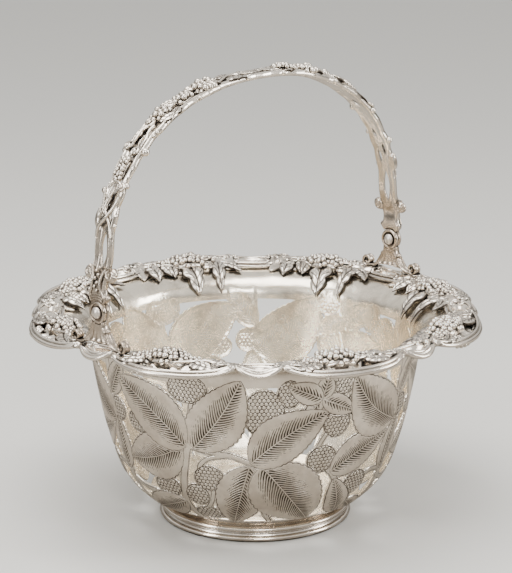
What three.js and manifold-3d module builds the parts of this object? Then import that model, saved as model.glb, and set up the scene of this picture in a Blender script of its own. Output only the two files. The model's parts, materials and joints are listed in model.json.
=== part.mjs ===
// Silver basket with a swing handle: a raised and pierced bowl on a moulded foot, a cast rim of
// eight lobes joined by scrolls, and a cast openwork handle on two riveted lap hinges.
// Millimetres. +Z is up, +X runs along the hinge axis, and the origin is under the middle of the foot.

import * as THREE from 'three';
import { mergeVertices } from 'three/addons/utils/BufferGeometryUtils.js';
import Module from 'manifold-3d';

const wasm = await Module();
wasm.setup();

// Clearances
const SEAT_GAP = 0.3;
const HINGE_GAP = 0.35;
const RIVET_CLEARANCE = 0.3;

// Foot
const WIRE_RADIUS = 61;
const WIRE_WIDTH = 4.8;
const WIRE_HEIGHT = 4;
const FOOT_RING_HEIGHT = 8.4;
const FOOT_RING_WALL = 2.2;
const FOOT_FLANGE = 5;

// Bowl
const SHEET = 1.2;
const BASE_RADIUS = 57;
const WALL_RADIUS = 108;
const WALL_HEIGHT = 105;
const FLARE_WIDTH = 18;
const FLARE_HEIGHT = 15;
const BOWL_SIDES = 32;
const BODY_RINGS = 5;

// Piercing: a plain margin is left at the foot and under the rim, measured along the wall
const FOOT_MARGIN = 16;
const RIM_MARGIN = 26;
const PATTERN_REPEATS = 3;
const PATTERN_FRONT = -136;
const SMALLEST_OPENING = 110;
const MOTIF_MARGIN = 2;
const EDGE_STEM_WIDTH = 5;

// Rim
const LOBES = 8;
const LOBE_REACH = 24;
const NOTCH_REACH = 15.5;
const SCROLL_REACH = 19;
const SCROLL_WIDTH = 28;
const SCROLL_TUBE = 1.5;
const RIM_INNER_REACH = 10;
const RIM_THICKNESS = 1.8;
const RIM_RIDGE = 4.2;
const LIP_HEIGHT = 3.4;
const BERRY_RADIUS = 3.3;
const BUD_HEIGHT = 4.9;
const BUD_RADIUS = 3.6;
const BUD_ROOT = 0.5;
const HEAP_ALONG = -3.5;
const HEAP_REACH = 5;
const HEAP_WIDTH = 29;
const HEAP_DEPTH = 18;
const HEAP_HEIGHT = 8.2;
const HANGING_LEAVES = [
  { along: -1, lean: -3, length: 20, width: 14 },
  { along: -27, lean: 2, length: 19, width: 10 },
  { along: 25, lean: -2, length: 11, width: 11 },
];
const LEAF_THICKNESS = 1.1;
const LEAF_RIB = 0.9;

// Hinge: it stands on the middle of the rim's buds
const HINGE_REACH = 9.6;
const PIVOT_RISE = 22.2;
const HINGE_THICKNESS = 5.2;
const HINGE_DISC_RADIUS = 7;
const NECK_HALF_WIDTH = 5.2;
const RIVET_RADIUS = 2;
const RIVET_HEAD_RADIUS = 4.2;
const RIVET_HEAD_HEIGHT = 2.3;
const BRACKET_HALF_WIDTH = 24;
const BRACKET_VOLUTE = 3.7;
const SHOULDER = 1.6;

// Handle: the arch stands in from the hinge and eases out to it above the pivot
const ARCH_INSET = 4.6;
const LEG_EASE = 19.5;
const LEG_EASE_START = 8;
const ARCH_SPRING = 27.5;
const ARCH_RISE = 102;
const ARCH_SQUARENESS = 2.2;
const BAND_WIDTH = 15;
const BAND_THICKNESS = 3;
const BAND_RAIL = 1.3;
const ARM_SPLICE_ANGLE = 52;
const EAR_RISE = 23;
const EAR_RADIUS = 4.2;
const EAR_REACH = 10;
const LEG_OVERLAP = 3;
const HANDLE_BERRY = 2.5;
const HANDLE_KNOB = 2.4;
const SLOT_HALF_WIDTH = 2.8;

// Levels that follow from the sizes above
const BASE_Z = WIRE_HEIGHT + SEAT_GAP + FOOT_RING_HEIGHT + SEAT_GAP;
const MOUTH_RADIUS = WALL_RADIUS + FLARE_WIDTH;
const LOBE_RADIUS = MOUTH_RADIUS + LOBE_REACH;
const NOTCH_RADIUS = MOUTH_RADIUS + NOTCH_REACH;
const SCROLL_RADIUS = MOUTH_RADIUS + SCROLL_REACH;
const HINGE_RADIUS = MOUTH_RADIUS + HINGE_REACH;
const ARCH_HALF_WIDTH = HINGE_RADIUS - ARCH_INSET;
const MOUTH_Z = BASE_Z + WALL_HEIGHT + FLARE_HEIGHT;
const DEGREE = Math.PI / 180;
const LOBE_PITCH = 360 / LOBES;
const SCROLL_ANGLE = SCROLL_WIDTH / 2 / NOTCH_RADIUS / DEGREE;
const SPLIT_ANGLE = SEAT_GAP / NOTCH_RADIUS / DEGREE;
const FACET_DEPTH = MOUTH_RADIUS * (1 - Math.cos(Math.PI / BOWL_SIDES));
const WALL_SEAT = SHEET + FACET_DEPTH + SEAT_GAP;
const RIM_Z = MOUTH_Z + WALL_SEAT;
const BRACKET_Z = RIM_Z + BUD_HEIGHT + SEAT_GAP;
const PIVOT_Z = BRACKET_Z + PIVOT_RISE;

// Metal colours
const silver = { color: 0xc9c2b4, roughness: 0.3, metalness: 1 };
const finishes = {
  sheet: { ...silver, color: 0xc4bba8 },
  cast: { ...silver, roughness: 0.36 },
  foot: { ...silver, roughness: 0.22 },
  rivet: { ...silver, color: 0xd2cdc4, roughness: 0.25 },
};

// Solids

function solidOf(geometry) {
  geometry.deleteAttribute('normal');
  geometry.deleteAttribute('uv');
  const merged = mergeVertices(geometry, 1e-4);
  return new wasm.Manifold(new wasm.Mesh({
    numProp: 3,
    vertProperties: new Float32Array(merged.attributes.position.array),
    triVerts: new Uint32Array(merged.index.array),
  }));
}

function geometryOf(solid) {
  const mesh = solid.getMesh();
  const geometry = new THREE.BufferGeometry();
  geometry.setAttribute('position', new THREE.BufferAttribute(new Float32Array(mesh.vertProperties), 3));
  geometry.setIndex(new THREE.BufferAttribute(new Uint32Array(mesh.triVerts), 1));
  geometry.computeVertexNormals();
  return geometry;
}

function piece(name, solid, finish) {
  const mesh = new THREE.Mesh(geometryOf(solid), new THREE.MeshStandardMaterial(finish));
  mesh.name = name;
  return mesh;
}

function joined(solids) {
  return solids.reduce((whole, solid) => whole.add(solid));
}

// A solid from corners and triangles, with its faces turned outward
function closedSolid(positions, index) {
  const geometry = new THREE.BufferGeometry();
  geometry.setAttribute('position', new THREE.Float32BufferAttribute(positions, 3));
  geometry.setIndex(index);
  const solid = solidOf(geometry);
  if (solid.volume() > 0) {
    return solid;
  }
  geometry.setIndex(index.reverse());
  return solidOf(geometry);
}

// A closed plate between two surfaces over a grid: u runs along it and v across it
function plate(uSteps, vSteps, upper, lower) {
  const positions = [];
  const index = [];
  const row = vSteps + 1;
  const layer = (uSteps + 1) * row;
  for (const surface of [upper, lower]) {
    for (let i = 0; i <= uSteps; i++) {
      for (let j = 0; j <= vSteps; j++) {
        positions.push(...surface(i / uSteps, j / vSteps).toArray());
      }
    }
  }
  const quad = (a, b, c, d) => index.push(a, b, c, a, c, d);
  for (let i = 0; i < uSteps; i++) {
    for (let j = 0; j < vSteps; j++) {
      const a = i * row + j;
      quad(a, a + row, a + row + 1, a + 1);
      quad(layer + a, layer + a + 1, layer + a + row + 1, layer + a + row);
    }
  }
  for (let i = 0; i < uSteps; i++) {
    const near = i * row;
    const far = near + vSteps;
    quad(near, layer + near, layer + near + row, near + row);
    quad(far + row, layer + far + row, layer + far, far);
  }
  for (let j = 0; j < vSteps; j++) {
    const end = uSteps * row + j;
    quad(j + 1, layer + j + 1, layer + j, j);
    quad(end, layer + end, layer + end + 1, end + 1);
  }
  return closedSolid(positions, index);
}

// A closed tube round a loop: turn runs round the loop and around runs round its section
function loop(steps, sides, pointAt) {
  const positions = [];
  const index = [];
  for (let i = 0; i < steps; i++) {
    for (let j = 0; j < sides; j++) {
      positions.push(...pointAt(2 * Math.PI * i / steps, 2 * Math.PI * j / sides).toArray());
      const next = (i + 1) % steps * sides;
      const beyond = (j + 1) % sides;
      index.push(i * sides + j, next + j, next + beyond, i * sides + j, next + beyond, i * sides + beyond);
    }
  }
  return closedSolid(positions, index);
}

function extruded(shape, depth) {
  return new THREE.ExtrudeGeometry(shape, { depth, steps: 1, bevelEnabled: false });
}

// A disc or pin along X
function discAlongX(radius, length, middle, sides = 18) {
  const geometry = new THREE.CylinderGeometry(radius, radius, length, sides);
  geometry.rotateZ(Math.PI / 2);
  geometry.translate(middle.x, middle.y, middle.z);
  return solidOf(geometry);
}

function bead(radius, centre) {
  const geometry = new THREE.IcosahedronGeometry(radius, 0);
  geometry.translate(centre.x, centre.y, centre.z);
  return solidOf(geometry);
}

function polar(radius, angle, z) {
  return new THREE.Vector3(radius * Math.cos(angle * DEGREE), radius * Math.sin(angle * DEGREE), z);
}

// Wall of the bowl, as a curve of radius against height for its outer face

const BODY_SHAPE = [[0, 0], [0.176, 0.024], [0.353, 0.067], [0.608, 0.219], [0.794, 0.486], [0.912, 0.743], [1, 1]];
const FLARE_STEPS = 4;

function wallCurve() {
  const body = BODY_SHAPE.map(([out, up]) => new THREE.Vector2(
    BASE_RADIUS + (WALL_RADIUS - BASE_RADIUS) * out,
    BASE_Z + WALL_HEIGHT * up,
  ));
  const flare = [];
  for (let i = 1; i <= FLARE_STEPS; i++) {
    const turn = Math.PI / 2 * i / FLARE_STEPS;
    flare.push(new THREE.Vector2(
      WALL_RADIUS + FLARE_WIDTH * (1 - Math.cos(turn)),
      BASE_Z + WALL_HEIGHT + FLARE_HEIGHT * Math.sin(turn),
    ));
  }
  return new THREE.SplineCurve([...body, ...flare]);
}

const wall = wallCurve();
const WALL_LENGTH = wall.getLength();

// Point at a length along the wall, moved in from its outer face
function wallPoint(length, inward = 0) {
  const share = THREE.MathUtils.clamp(length / WALL_LENGTH, 0, 1);
  const point = wall.getPointAt(share);
  const tangent = wall.getTangentAt(share);
  return new THREE.Vector2(point.x - tangent.y * inward, point.y + tangent.x * inward);
}

// Lengths at which the wall has a ring of corners: closer together at the foot and on the flare
function wallRings() {
  const body = WALL_LENGTH - RIM_INNER_REACH * 2;
  const rings = [];
  for (let i = 0; i <= BODY_RINGS; i++) {
    rings.push(body * (i / BODY_RINGS) ** 1.25);
  }
  return [...rings, WALL_LENGTH - RIM_INNER_REACH, WALL_LENGTH - RIM_INNER_REACH / 2, WALL_LENGTH];
}

// Pierced pattern, laid out flat: angles in degrees from the middle of a repeat, heights as shares
// of the pierced band, widths in millimetres

const LEAVES = [
  { base: [-25.5, 0.6], tip: [-53, 0.97], halfWidth: 18.5 },
  { base: [-22.5, 0.6], tip: [-4.5, 1.06], halfWidth: 18.5 },
  { base: [-1.5, 0.51], tip: [26, 0.83], halfWidth: 17 },
  { base: [62, 0.66], tip: [35, 1.04], halfWidth: 20 },
  { base: [29.5, 0.43], tip: [57, 0.62], halfWidth: 14 },
  { base: [3, 0.51], tip: [27, 0.0], halfWidth: 23 },
  { base: [-2, 0.51], tip: [-10.5, -0.03], halfWidth: 16 },
  { base: [-27, 0.6], tip: [-56, 0.44], halfWidth: 17.5 },
  { base: [22, 0.9], tip: [9, 1.02], halfWidth: 8 },
  { base: [22, 0.9], tip: [25.5, 1.08], halfWidth: 7 },
  { base: [22, 0.9], tip: [38, 0.8], halfWidth: 8 },
  { base: [22, 0.93], tip: [16, 0.78], halfWidth: 6 },
  { base: [-60.5, 0.34], tip: [-58.5, 0.68], halfWidth: 9 },
  { base: [-60, 0.82], tip: [-50, 1.06], halfWidth: 8 },
  { base: [-30, 0.22], tip: [-59, 0.02], halfWidth: 12 },
  { base: [41, 0.06], tip: [32, 0.38], halfWidth: 9 },
  { base: [44, 0.16], tip: [61, -0.02], halfWidth: 8 },
];

const CLUSTERS = [
  { at: [-22.5, 0.97], size: [27, 20] },
  { at: [3, 0.835], size: [26, 32] },
  { at: [11, 0.93], size: [15, 20] },
  { at: [31.5, 0.985], size: [17, 17] },
  { at: [36, 0.86], size: [13, 16] },
  { at: [29.5, 0.745], size: [19, 20] },
  { at: [25, 0.53], size: [20, 20] },
  { at: [-17.5, 0.41], size: [20, 18] },
  { at: [-24, 0.285], size: [17, 17] },
  { at: [-38, 0.3], size: [21, 16] },
  { at: [-20, 0.12], size: [20, 15] },
  { at: [-46, 0.7], size: [18, 15] },
  { at: [-57, 0.75], size: [17, 16] },
  { at: [44, 0.32], size: [19, 19] },
  { at: [44, 0.7], size: [17, 17] },
];

const STEMS = [
  { through: [[-24.5, 0.62], [-27, 0.47], [-29, 0.33], [-29.5, 0.18], [-27, -0.04]], width: 5 },
  { through: [[-24, 0.61], [-16, 0.585], [-7, 0.56], [0, 0.52], [6, 0.46]], width: 4.2 },
  { through: [[-16, 0.42], [-21.5, 0.46], [-18, 0.53], [-9, 0.57]], width: 3.4 },
  { through: [[-15.5, 0.4], [-16.5, 0.28], [-20.5, 0.15], [-21, -0.04]], width: 3.4 },
  { through: [[29, 0.45], [37, 0.31], [44, 0.2], [43, 0.08], [39, -0.04]], width: 4.6 },
  { through: [[29, 0.43], [24, 0.52], [23, 0.6], [28, 0.75]], width: 3.4 },
  { through: [[-25, 0.58], [-24, 0.76], [-23, 0.95]], width: 4 },
  { through: [[44, 0.32], [52, 0.36], [62, 0.34]], width: 3.4 },
  { through: [[-60, 0.3], [-54, 0.25], [-46, 0.24]], width: 4 },
  { through: [[3, 0.2], [6, 0.08], [10, -0.04]], width: 4 },
];

const EDGE_STEM_WAVE = 0.9;
const LEAF_STEPS = 4;
const CLUSTER_SIDES = 6;
const STEM_STEPS = 4;
const CUTTER_REACH = 9;
const BAND_START = FOOT_MARGIN;
const BAND_LENGTH = WALL_LENGTH - FOOT_MARGIN - RIM_MARGIN;

function localRadius(share) {
  return wallPoint(BAND_START + BAND_LENGTH * share).x;
}

// Flat place of a point of the pattern: degrees across, millimetres up the band
function flat([angle, share]) {
  return new THREE.Vector2(angle, share * BAND_LENGTH);
}

// Pushes a flat point sideways from a line by a distance in millimetres
function beside(point, direction, distance, radius) {
  const perDegree = radius * DEGREE;
  const length = Math.hypot(direction.x * perDegree, direction.y);
  return new THREE.Vector2(
    point.x - direction.y / length * distance / perDegree,
    point.y + direction.x * perDegree / length * distance,
  );
}

function leafShape({ base, tip, halfWidth }) {
  const start = flat(base);
  const end = flat(tip);
  const direction = end.clone().sub(start);
  const radius = localRadius((base[1] + tip[1]) / 2);
  const near = [];
  const far = [];
  for (let i = 0; i <= LEAF_STEPS; i++) {
    const along = i / LEAF_STEPS;
    const spread = (halfWidth + MOTIF_MARGIN) * Math.sin(Math.PI * along ** 0.78) ** 0.72;
    const middle = start.clone().addScaledVector(direction, along);
    if (i === 0 || i === LEAF_STEPS) {
      near.push(middle);
    } else {
      near.push(beside(middle, direction, -spread, radius));
      far.unshift(beside(middle, direction, spread, radius));
    }
  }
  return new THREE.Shape([...near, ...far]);
}

function clusterShape({ at, size }) {
  const centre = flat(at);
  const perDegree = localRadius(at[1]) * DEGREE;
  const points = [];
  for (let i = 0; i < CLUSTER_SIDES; i++) {
    const turn = 2 * Math.PI * i / CLUSTER_SIDES;
    points.push(new THREE.Vector2(
      centre.x + (size[0] / 2 + MOTIF_MARGIN) * Math.cos(turn) / perDegree,
      centre.y + (size[1] / 2 + MOTIF_MARGIN) * Math.sin(turn),
    ));
  }
  return new THREE.Shape(points);
}

function stemShape({ through, width }) {
  const curve = new THREE.SplineCurve(through.map(flat));
  const near = [];
  const far = [];
  for (let i = 0; i <= STEM_STEPS; i++) {
    const point = curve.getPoint(i / STEM_STEPS);
    const radius = localRadius(point.y / BAND_LENGTH);
    const direction = curve.getTangent(i / STEM_STEPS);
    near.push(beside(point, direction, -width / 2, radius));
    far.unshift(beside(point, direction, width / 2, radius));
  }
  return new THREE.Shape([...near, ...far]);
}

// The wavy stem on the line between two repeats
function edgeStem(side) {
  const through = [];
  for (let i = 0; i <= STEM_STEPS; i++) {
    through.push([side + EDGE_STEM_WAVE * Math.sin(i * 1.4), -0.04 + 1.08 * i / STEM_STEPS]);
  }
  return stemShape({ through, width: EDGE_STEM_WIDTH });
}

// What is cut away in one repeat: the band, less the leaves, clusters and stems
function openingsOfOneRepeat() {
  const half = 180 / PATTERN_REPEATS;
  const band = new THREE.Shape([
    new THREE.Vector2(-half, 0),
    new THREE.Vector2(half, 0),
    new THREE.Vector2(half, BAND_LENGTH),
    new THREE.Vector2(-half, BAND_LENGTH),
  ]);
  const shapes = [
    ...LEAVES.map(leafShape),
    ...CLUSTERS.map(clusterShape),
    ...STEMS.map(stemShape),
    edgeStem(-half),
    edgeStem(half),
  ];
  let left = solidOf(extruded(band, 1));
  for (const shape of shapes) {
    for (const shift of [-2 * half, 0, 2 * half]) {
      const kept = extruded(shape, 3);
      kept.translate(shift, 0, -1);
      left = left.subtract(solidOf(kept));
    }
  }
  const perDegree = localRadius(0.5) * DEGREE;
  return left.decompose().filter((opening) => opening.volume() * perDegree > SMALLEST_OPENING);
}

// Wraps a flat opening round the bowl, as a cutter that passes through the wall
function wrapped(opening, turn) {
  const geometry = geometryOf(opening);
  const position = geometry.attributes.position;
  for (let i = 0; i < position.count; i++) {
    const inward = (1 - position.getZ(i) * 2) * CUTTER_REACH;
    const place = wallPoint(BAND_START + position.getY(i), inward);
    position.setXYZ(i, ...polar(place.x, position.getX(i) + turn, place.y).toArray());
  }
  return solidOf(geometry);
}

function bowl() {
  const outer = [];
  const inner = [];
  for (const length of wallRings()) {
    outer.push(wallPoint(length));
    inner.unshift(wallPoint(length, SHEET));
  }
  const axisFoot = new THREE.Vector2(0, BASE_Z);
  const axisFloor = new THREE.Vector2(0, BASE_Z + SHEET);
  const geometry = new THREE.LatheGeometry([axisFoot, ...outer, ...inner, axisFloor], BOWL_SIDES);
  geometry.rotateX(Math.PI / 2);
  let body = solidOf(geometry);
  const openings = openingsOfOneRepeat();
  for (let i = 0; i < PATTERN_REPEATS; i++) {
    const turn = PATTERN_FRONT + 360 / PATTERN_REPEATS * i;
    for (const opening of openings) {
      body = body.subtract(wrapped(opening, turn));
    }
  }
  return body;
}

// Foot

function turned(points, sides) {
  const geometry = new THREE.LatheGeometry([...points, points[0]], sides);
  geometry.rotateX(Math.PI / 2);
  return solidOf(geometry);
}

function footWire() {
  const half = WIRE_WIDTH / 2;
  const flatHalf = half * 0.55;
  const section = [
    [-flatHalf, 0], [flatHalf, 0], [half, WIRE_HEIGHT * 0.3], [half, WIRE_HEIGHT * 0.65],
    [flatHalf, WIRE_HEIGHT], [-flatHalf, WIRE_HEIGHT],
  ];
  return turned(section.map(([out, up]) => new THREE.Vector2(WIRE_RADIUS + out, up)), BOWL_SIDES);
}

// Stepped mouldings: an ovolo above the wire, a narrow fillet and a cove up to the bowl
function footRing() {
  const bottom = WIRE_HEIGHT + SEAT_GAP;
  const height = FOOT_RING_HEIGHT;
  const spread = WIRE_RADIUS + WIRE_WIDTH / 2 - BASE_RADIUS;
  const section = [
    [0.6, 0], [1, 0.1], [1, 0.26], [0.66, 0.38], [0.66, 0.58], [0.3, 0.76], [0.05, 1],
  ];
  const outside = section.map(([out, up]) => new THREE.Vector2(BASE_RADIUS + spread * out, bottom + height * up));
  const inside = [
    new THREE.Vector2(BASE_RADIUS - FOOT_FLANGE, bottom + height),
    new THREE.Vector2(BASE_RADIUS - FOOT_FLANGE, bottom + height - FOOT_RING_WALL),
    new THREE.Vector2(BASE_RADIUS - FOOT_RING_WALL, bottom + height - FOOT_RING_WALL * 1.4),
    new THREE.Vector2(WIRE_RADIUS - WIRE_WIDTH / 2, bottom),
  ];
  return turned([...outside, ...inside], BOWL_SIDES);
}

// Rim

// Shares of the way from the rim's inner edge, down on the flare, to the outer lip
const RIM_ACROSS = [0, 0.15, 0.3, 0.48, 0.7, 0.88, 1];
const RIM_MOUTH = RIM_ACROSS[2];
const RIDGE_MIDDLE = 0.44;
const LIP_MIDDLE = 0.88;

function rimPlace(across, angle, edgeRadius, height) {
  if (across <= RIM_MOUTH) {
    const place = wallPoint(WALL_LENGTH - RIM_INNER_REACH * (1 - across / RIM_MOUTH), WALL_SEAT + height);
    return polar(place.x, angle, place.y);
  }
  const outward = (across - RIM_MOUTH) / (1 - RIM_MOUTH);
  return polar(THREE.MathUtils.lerp(MOUTH_RADIUS, edgeRadius, outward), angle, RIM_Z + height);
}

function bump(across, middle, halfWidth) {
  const away = Math.abs(across - middle) / halfWidth;
  return away < 1 ? Math.cos(away * Math.PI / 2) ** 2 : 0;
}

// Height of the casting's top over its seat
function rimHeight(across, crest) {
  return RIM_THICKNESS * (across === 0 ? 0.6 : 1)
    + crest * RIM_RIDGE * bump(across, RIDGE_MIDDLE, 0.36)
    + (LIP_HEIGHT - RIM_THICKNESS) * bump(across, LIP_MIDDLE, 0.2);
}

function rimPlate(fromAngle, toAngle, uSteps, edgeRadius, crest) {
  const surface = (height) => (u, v) => {
    const across = RIM_ACROSS[Math.round(v * (RIM_ACROSS.length - 1))];
    return rimPlace(across, THREE.MathUtils.lerp(fromAngle, toAngle, u), edgeRadius(u), height(across, crest(u)));
  };
  return plate(uSteps, RIM_ACROSS.length - 1, surface(rimHeight), surface(() => 0));
}

// A pointed cast leaf that hangs down the inside of the bowl
function hangingLeaf(middle, { along, lean, length, width }) {
  const surface = (height) => (u, v) => {
    const spread = width / 2 * (0.05 + Math.sin(Math.PI * (0.16 + 0.8 * u) ** 0.9));
    const rib = 1 - Math.abs(2 * v - 1);
    const place = wallPoint(
      WALL_LENGTH - RIM_INNER_REACH * 0.5 - length * u,
      WALL_SEAT + height * (LEAF_THICKNESS + LEAF_RIB * rib),
    );
    const sideways = (2 * v - 1) * spread + lean * u;
    return polar(place.x, middle + (along / NOTCH_RADIUS + sideways / place.x) / DEGREE, place.y);
  };
  return plate(3, 2, surface(1), surface(0));
}

// A heap of berries on the lobe's crest: a low dome with berries standing out of it
function berryHeap(middle) {
  const profile = [[0, 0], [1, 0], [0.9, 0.55], [0.5, 0.9], [0, 1]];
  const dome = new THREE.LatheGeometry(profile.map(([out, up]) => new THREE.Vector2(out, up)), 8);
  dome.rotateX(Math.PI / 2);
  dome.scale(HEAP_DEPTH / 2, HEAP_WIDTH / 2, HEAP_HEIGHT);
  const angle = middle + HEAP_ALONG / NOTCH_RADIUS / DEGREE;
  const radius = MOUTH_RADIUS + HEAP_REACH;
  const base = RIM_Z + RIM_THICKNESS / 2;
  const centre = polar(radius, angle, base);
  dome.rotateZ(angle * DEGREE);
  dome.translate(centre.x, centre.y, centre.z);
  const berries = [-1, 0, 1].map((side) => {
    const sideways = side * HEAP_WIDTH / 4;
    const outward = radius + BERRY_RADIUS * 0.6 * (side === 0 ? 1 : -1);
    const height = base + HEAP_HEIGHT * (side === 0 ? 0.85 : 0.7);
    return bead(BERRY_RADIUS, polar(outward, angle + sideways / radius / DEGREE, height));
  });
  return joined([solidOf(dome), ...berries]);
}

// A flat-topped rosette bud beside each scroll; the hinge brackets stand on four of them
function bud(angle) {
  const geometry = new THREE.CylinderGeometry(BUD_RADIUS * 0.72, BUD_RADIUS, BUD_HEIGHT - BUD_ROOT, 5);
  geometry.rotateX(Math.PI / 2);
  const place = polar(HINGE_RADIUS, angle, RIM_Z + (BUD_HEIGHT + BUD_ROOT) / 2);
  geometry.translate(place.x, place.y, place.z);
  return solidOf(geometry);
}

function rimLobe() {
  const from = SCROLL_ANGLE + SPLIT_ANGLE;
  const to = LOBE_PITCH - SCROLL_ANGLE - SPLIT_ANGLE;
  const middle = LOBE_PITCH / 2;
  const swell = (u) => Math.max(Math.sin(Math.PI * u), 0) ** 0.7;
  const edge = (u) => NOTCH_RADIUS + (LOBE_RADIUS - NOTCH_RADIUS) * swell(u);
  const budAngle = (BRACKET_HALF_WIDTH - BRACKET_VOLUTE) / HINGE_RADIUS / DEGREE;
  return joined([
    rimPlate(from, to, 5, edge, (u) => 0.3 + 0.7 * swell(u)),
    berryHeap(middle),
    ...HANGING_LEAVES.map((leaf) => hangingLeaf(middle, leaf)),
    bud(budAngle),
    bud(LOBE_PITCH - budAngle),
  ]);
}

// A pair of C-scrolls round a plain oval
function rimScroll() {
  const reach = SCROLL_ANGLE - SPLIT_ANGLE;
  const swell = (u) => Math.sqrt(Math.max(Math.sin(Math.PI * u), 0));
  const edge = (u) => NOTCH_RADIUS + (SCROLL_RADIUS - NOTCH_RADIUS) * swell(u);
  const middle = (MOUTH_RADIUS + SCROLL_RADIUS) / 2 - SCROLL_TUBE;
  const border = loop(8, 4, (turn, around) => {
    const outward = SCROLL_TUBE * Math.cos(around);
    return new THREE.Vector3(
      middle + ((SCROLL_RADIUS - MOUTH_RADIUS) / 2 - SCROLL_TUBE + outward) * Math.cos(turn),
      (SCROLL_WIDTH / 2 - SCROLL_TUBE * 2 + outward) * Math.sin(turn),
      RIM_Z + RIM_THICKNESS + SCROLL_TUBE * Math.sin(around),
    );
  });
  return joined([rimPlate(-reach, reach, 3, edge, () => 0), border]);
}

// Hinge

const hingeSide = (HINGE_THICKNESS - HINGE_GAP) / 2;
const innerDisc = HINGE_RADIUS - HINGE_THICKNESS / 2 + hingeSide / 2;
const outerDisc = HINGE_RADIUS + HINGE_THICKNESS / 2 - hingeSide / 2;

function atPivot(x) {
  return new THREE.Vector3(x, 0, PIVOT_Z);
}

// An outline in the plane across the hinge axis, given from the pivot, made as thick as the hinge
function hingePlate(shape) {
  const geometry = extruded(shape, HINGE_THICKNESS);
  geometry.rotateX(Math.PI / 2);
  geometry.rotateZ(Math.PI / 2);
  geometry.translate(HINGE_RADIUS - HINGE_THICKNESS / 2, 0, PIVOT_Z);
  return solidOf(geometry);
}

function mirroredShape(half) {
  const other = half.slice().reverse().map(([y, z]) => [-y, z]);
  return new THREE.Shape([...half, ...other].map(([y, z]) => new THREE.Vector2(y, z)));
}

// Takes the neighbour's disc, and its running gap, out of one half of a hinge plate
function lapped(solid, cutDisc, keptDisc) {
  const clearance = discAlongX(HINGE_DISC_RADIUS + HINGE_GAP, hingeSide + HINGE_GAP * 2, atPivot(cutDisc));
  const disc = discAlongX(HINGE_DISC_RADIUS, hingeSide, atPivot(keptDisc));
  const hole = discAlongX(RIVET_RADIUS + RIVET_CLEARANCE, HINGE_THICKNESS * 2, atPivot(HINGE_RADIUS), 10);
  return solid.subtract(clearance).add(disc).subtract(hole);
}

function hingeBracket() {
  const volute = BRACKET_VOLUTE;
  const foot = BRACKET_HALF_WIDTH - volute;
  const bottom = -PIVOT_RISE;
  const pedestal = mirroredShape([
    [0, bottom + volute * 0.5],
    [foot - volute * 1.8, bottom + volute * 0.32],
    [foot - volute, bottom],
    [foot, bottom],
    [foot, bottom + 2 * volute],
    [foot - volute, bottom + volute],
    [foot * 0.57, bottom + volute],
    [foot * 0.4, bottom + PIVOT_RISE * 0.36],
    [NECK_HALF_WIDTH + SHOULDER, bottom + PIVOT_RISE * 0.58],
    [NECK_HALF_WIDTH, bottom + PIVOT_RISE * 0.8],
    [0, -HINGE_DISC_RADIUS * 0.6],
  ].filter(([y], i) => y > 0 || i === 0 || i === 10));
  const volutes = [-1, 1].map((side) => discAlongX(
    volute,
    HINGE_THICKNESS,
    new THREE.Vector3(HINGE_RADIUS, side * foot, PIVOT_Z + bottom + volute),
    10,
  ));
  return lapped(joined([hingePlate(pedestal), ...volutes]), outerDisc, innerDisc);
}

function hingeRivet() {
  const reach = HINGE_THICKNESS / 2 + SEAT_GAP;
  const dome = [];
  const steps = 3;
  for (let i = 0; i <= steps; i++) {
    const turn = Math.PI / 2 * i / steps;
    dome.push([RIVET_HEAD_RADIUS * Math.cos(turn), reach + RIVET_HEAD_HEIGHT * Math.sin(turn)]);
  }
  const upper = [[RIVET_RADIUS, reach], ...dome].map(([r, h]) => new THREE.Vector2(Math.max(r, 0), h));
  upper[upper.length - 1].x = 0;
  const lower = upper.slice().reverse().map((point) => new THREE.Vector2(point.x, -point.y));
  const geometry = new THREE.LatheGeometry([...lower, ...upper], 10);
  geometry.rotateZ(Math.PI / 2);
  geometry.translate(HINGE_RADIUS, 0, PIVOT_Z);
  return solidOf(geometry);
}

// Handle

// Middle line of the arch: a squared-off arc that eases outward to the hinge. The angle runs
// from 0 at the springing on the +X side to 90 at the top, and is below 0 down the straight leg
function archPoint(angle) {
  const spring = PIVOT_Z + ARCH_SPRING;
  const power = 2 / ARCH_SQUARENESS;
  const cosine = Math.cos(angle * DEGREE);
  const across = angle < 0 ? 1 : Math.sign(cosine) * Math.abs(cosine) ** power;
  const rise = angle < 0 ? angle * DEGREE : Math.sin(angle * DEGREE) ** power;
  const z = spring + ARCH_RISE * rise;
  const below = THREE.MathUtils.clamp((spring + LEG_EASE_START - z) / LEG_EASE, 0, 1);
  const ease = below * below * (3 - 2 * below);
  return new THREE.Vector2(ARCH_HALF_WIDTH * across + ARCH_INSET * ease, z);
}

// Place on the band: across runs over its width, out is the distance outward from its middle line
function bandPlace(angle, across, out) {
  const step = 0.4;
  const before = archPoint(angle - step);
  const after = archPoint(angle + step);
  const along = after.sub(before).normalize();
  const middle = archPoint(angle);
  return new THREE.Vector3(middle.x + along.y * out, across, middle.y - along.x * out);
}

// The band between two angles, with a raised rail along each edge
const BAND_ACROSS = [-1, -0.72, 0, 0.72, 1];

function band(fromAngle, toAngle, steps, halfWidth) {
  const surface = (height) => (u, v) => {
    const angle = THREE.MathUtils.lerp(fromAngle, toAngle, u);
    const across = BAND_ACROSS[Math.round(v * 4)];
    return bandPlace(angle, across * halfWidth(u), height(across));
  };
  const rail = (across) => (Math.abs(Math.abs(across) - 0.72) < 0.01 ? BAND_RAIL : 0);
  return plate(
    steps,
    4,
    surface((across) => -BAND_THICKNESS / 2 - rail(across) * 0.2),
    surface((across) => BAND_THICKNESS / 2 + rail(across)),
  );
}

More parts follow.
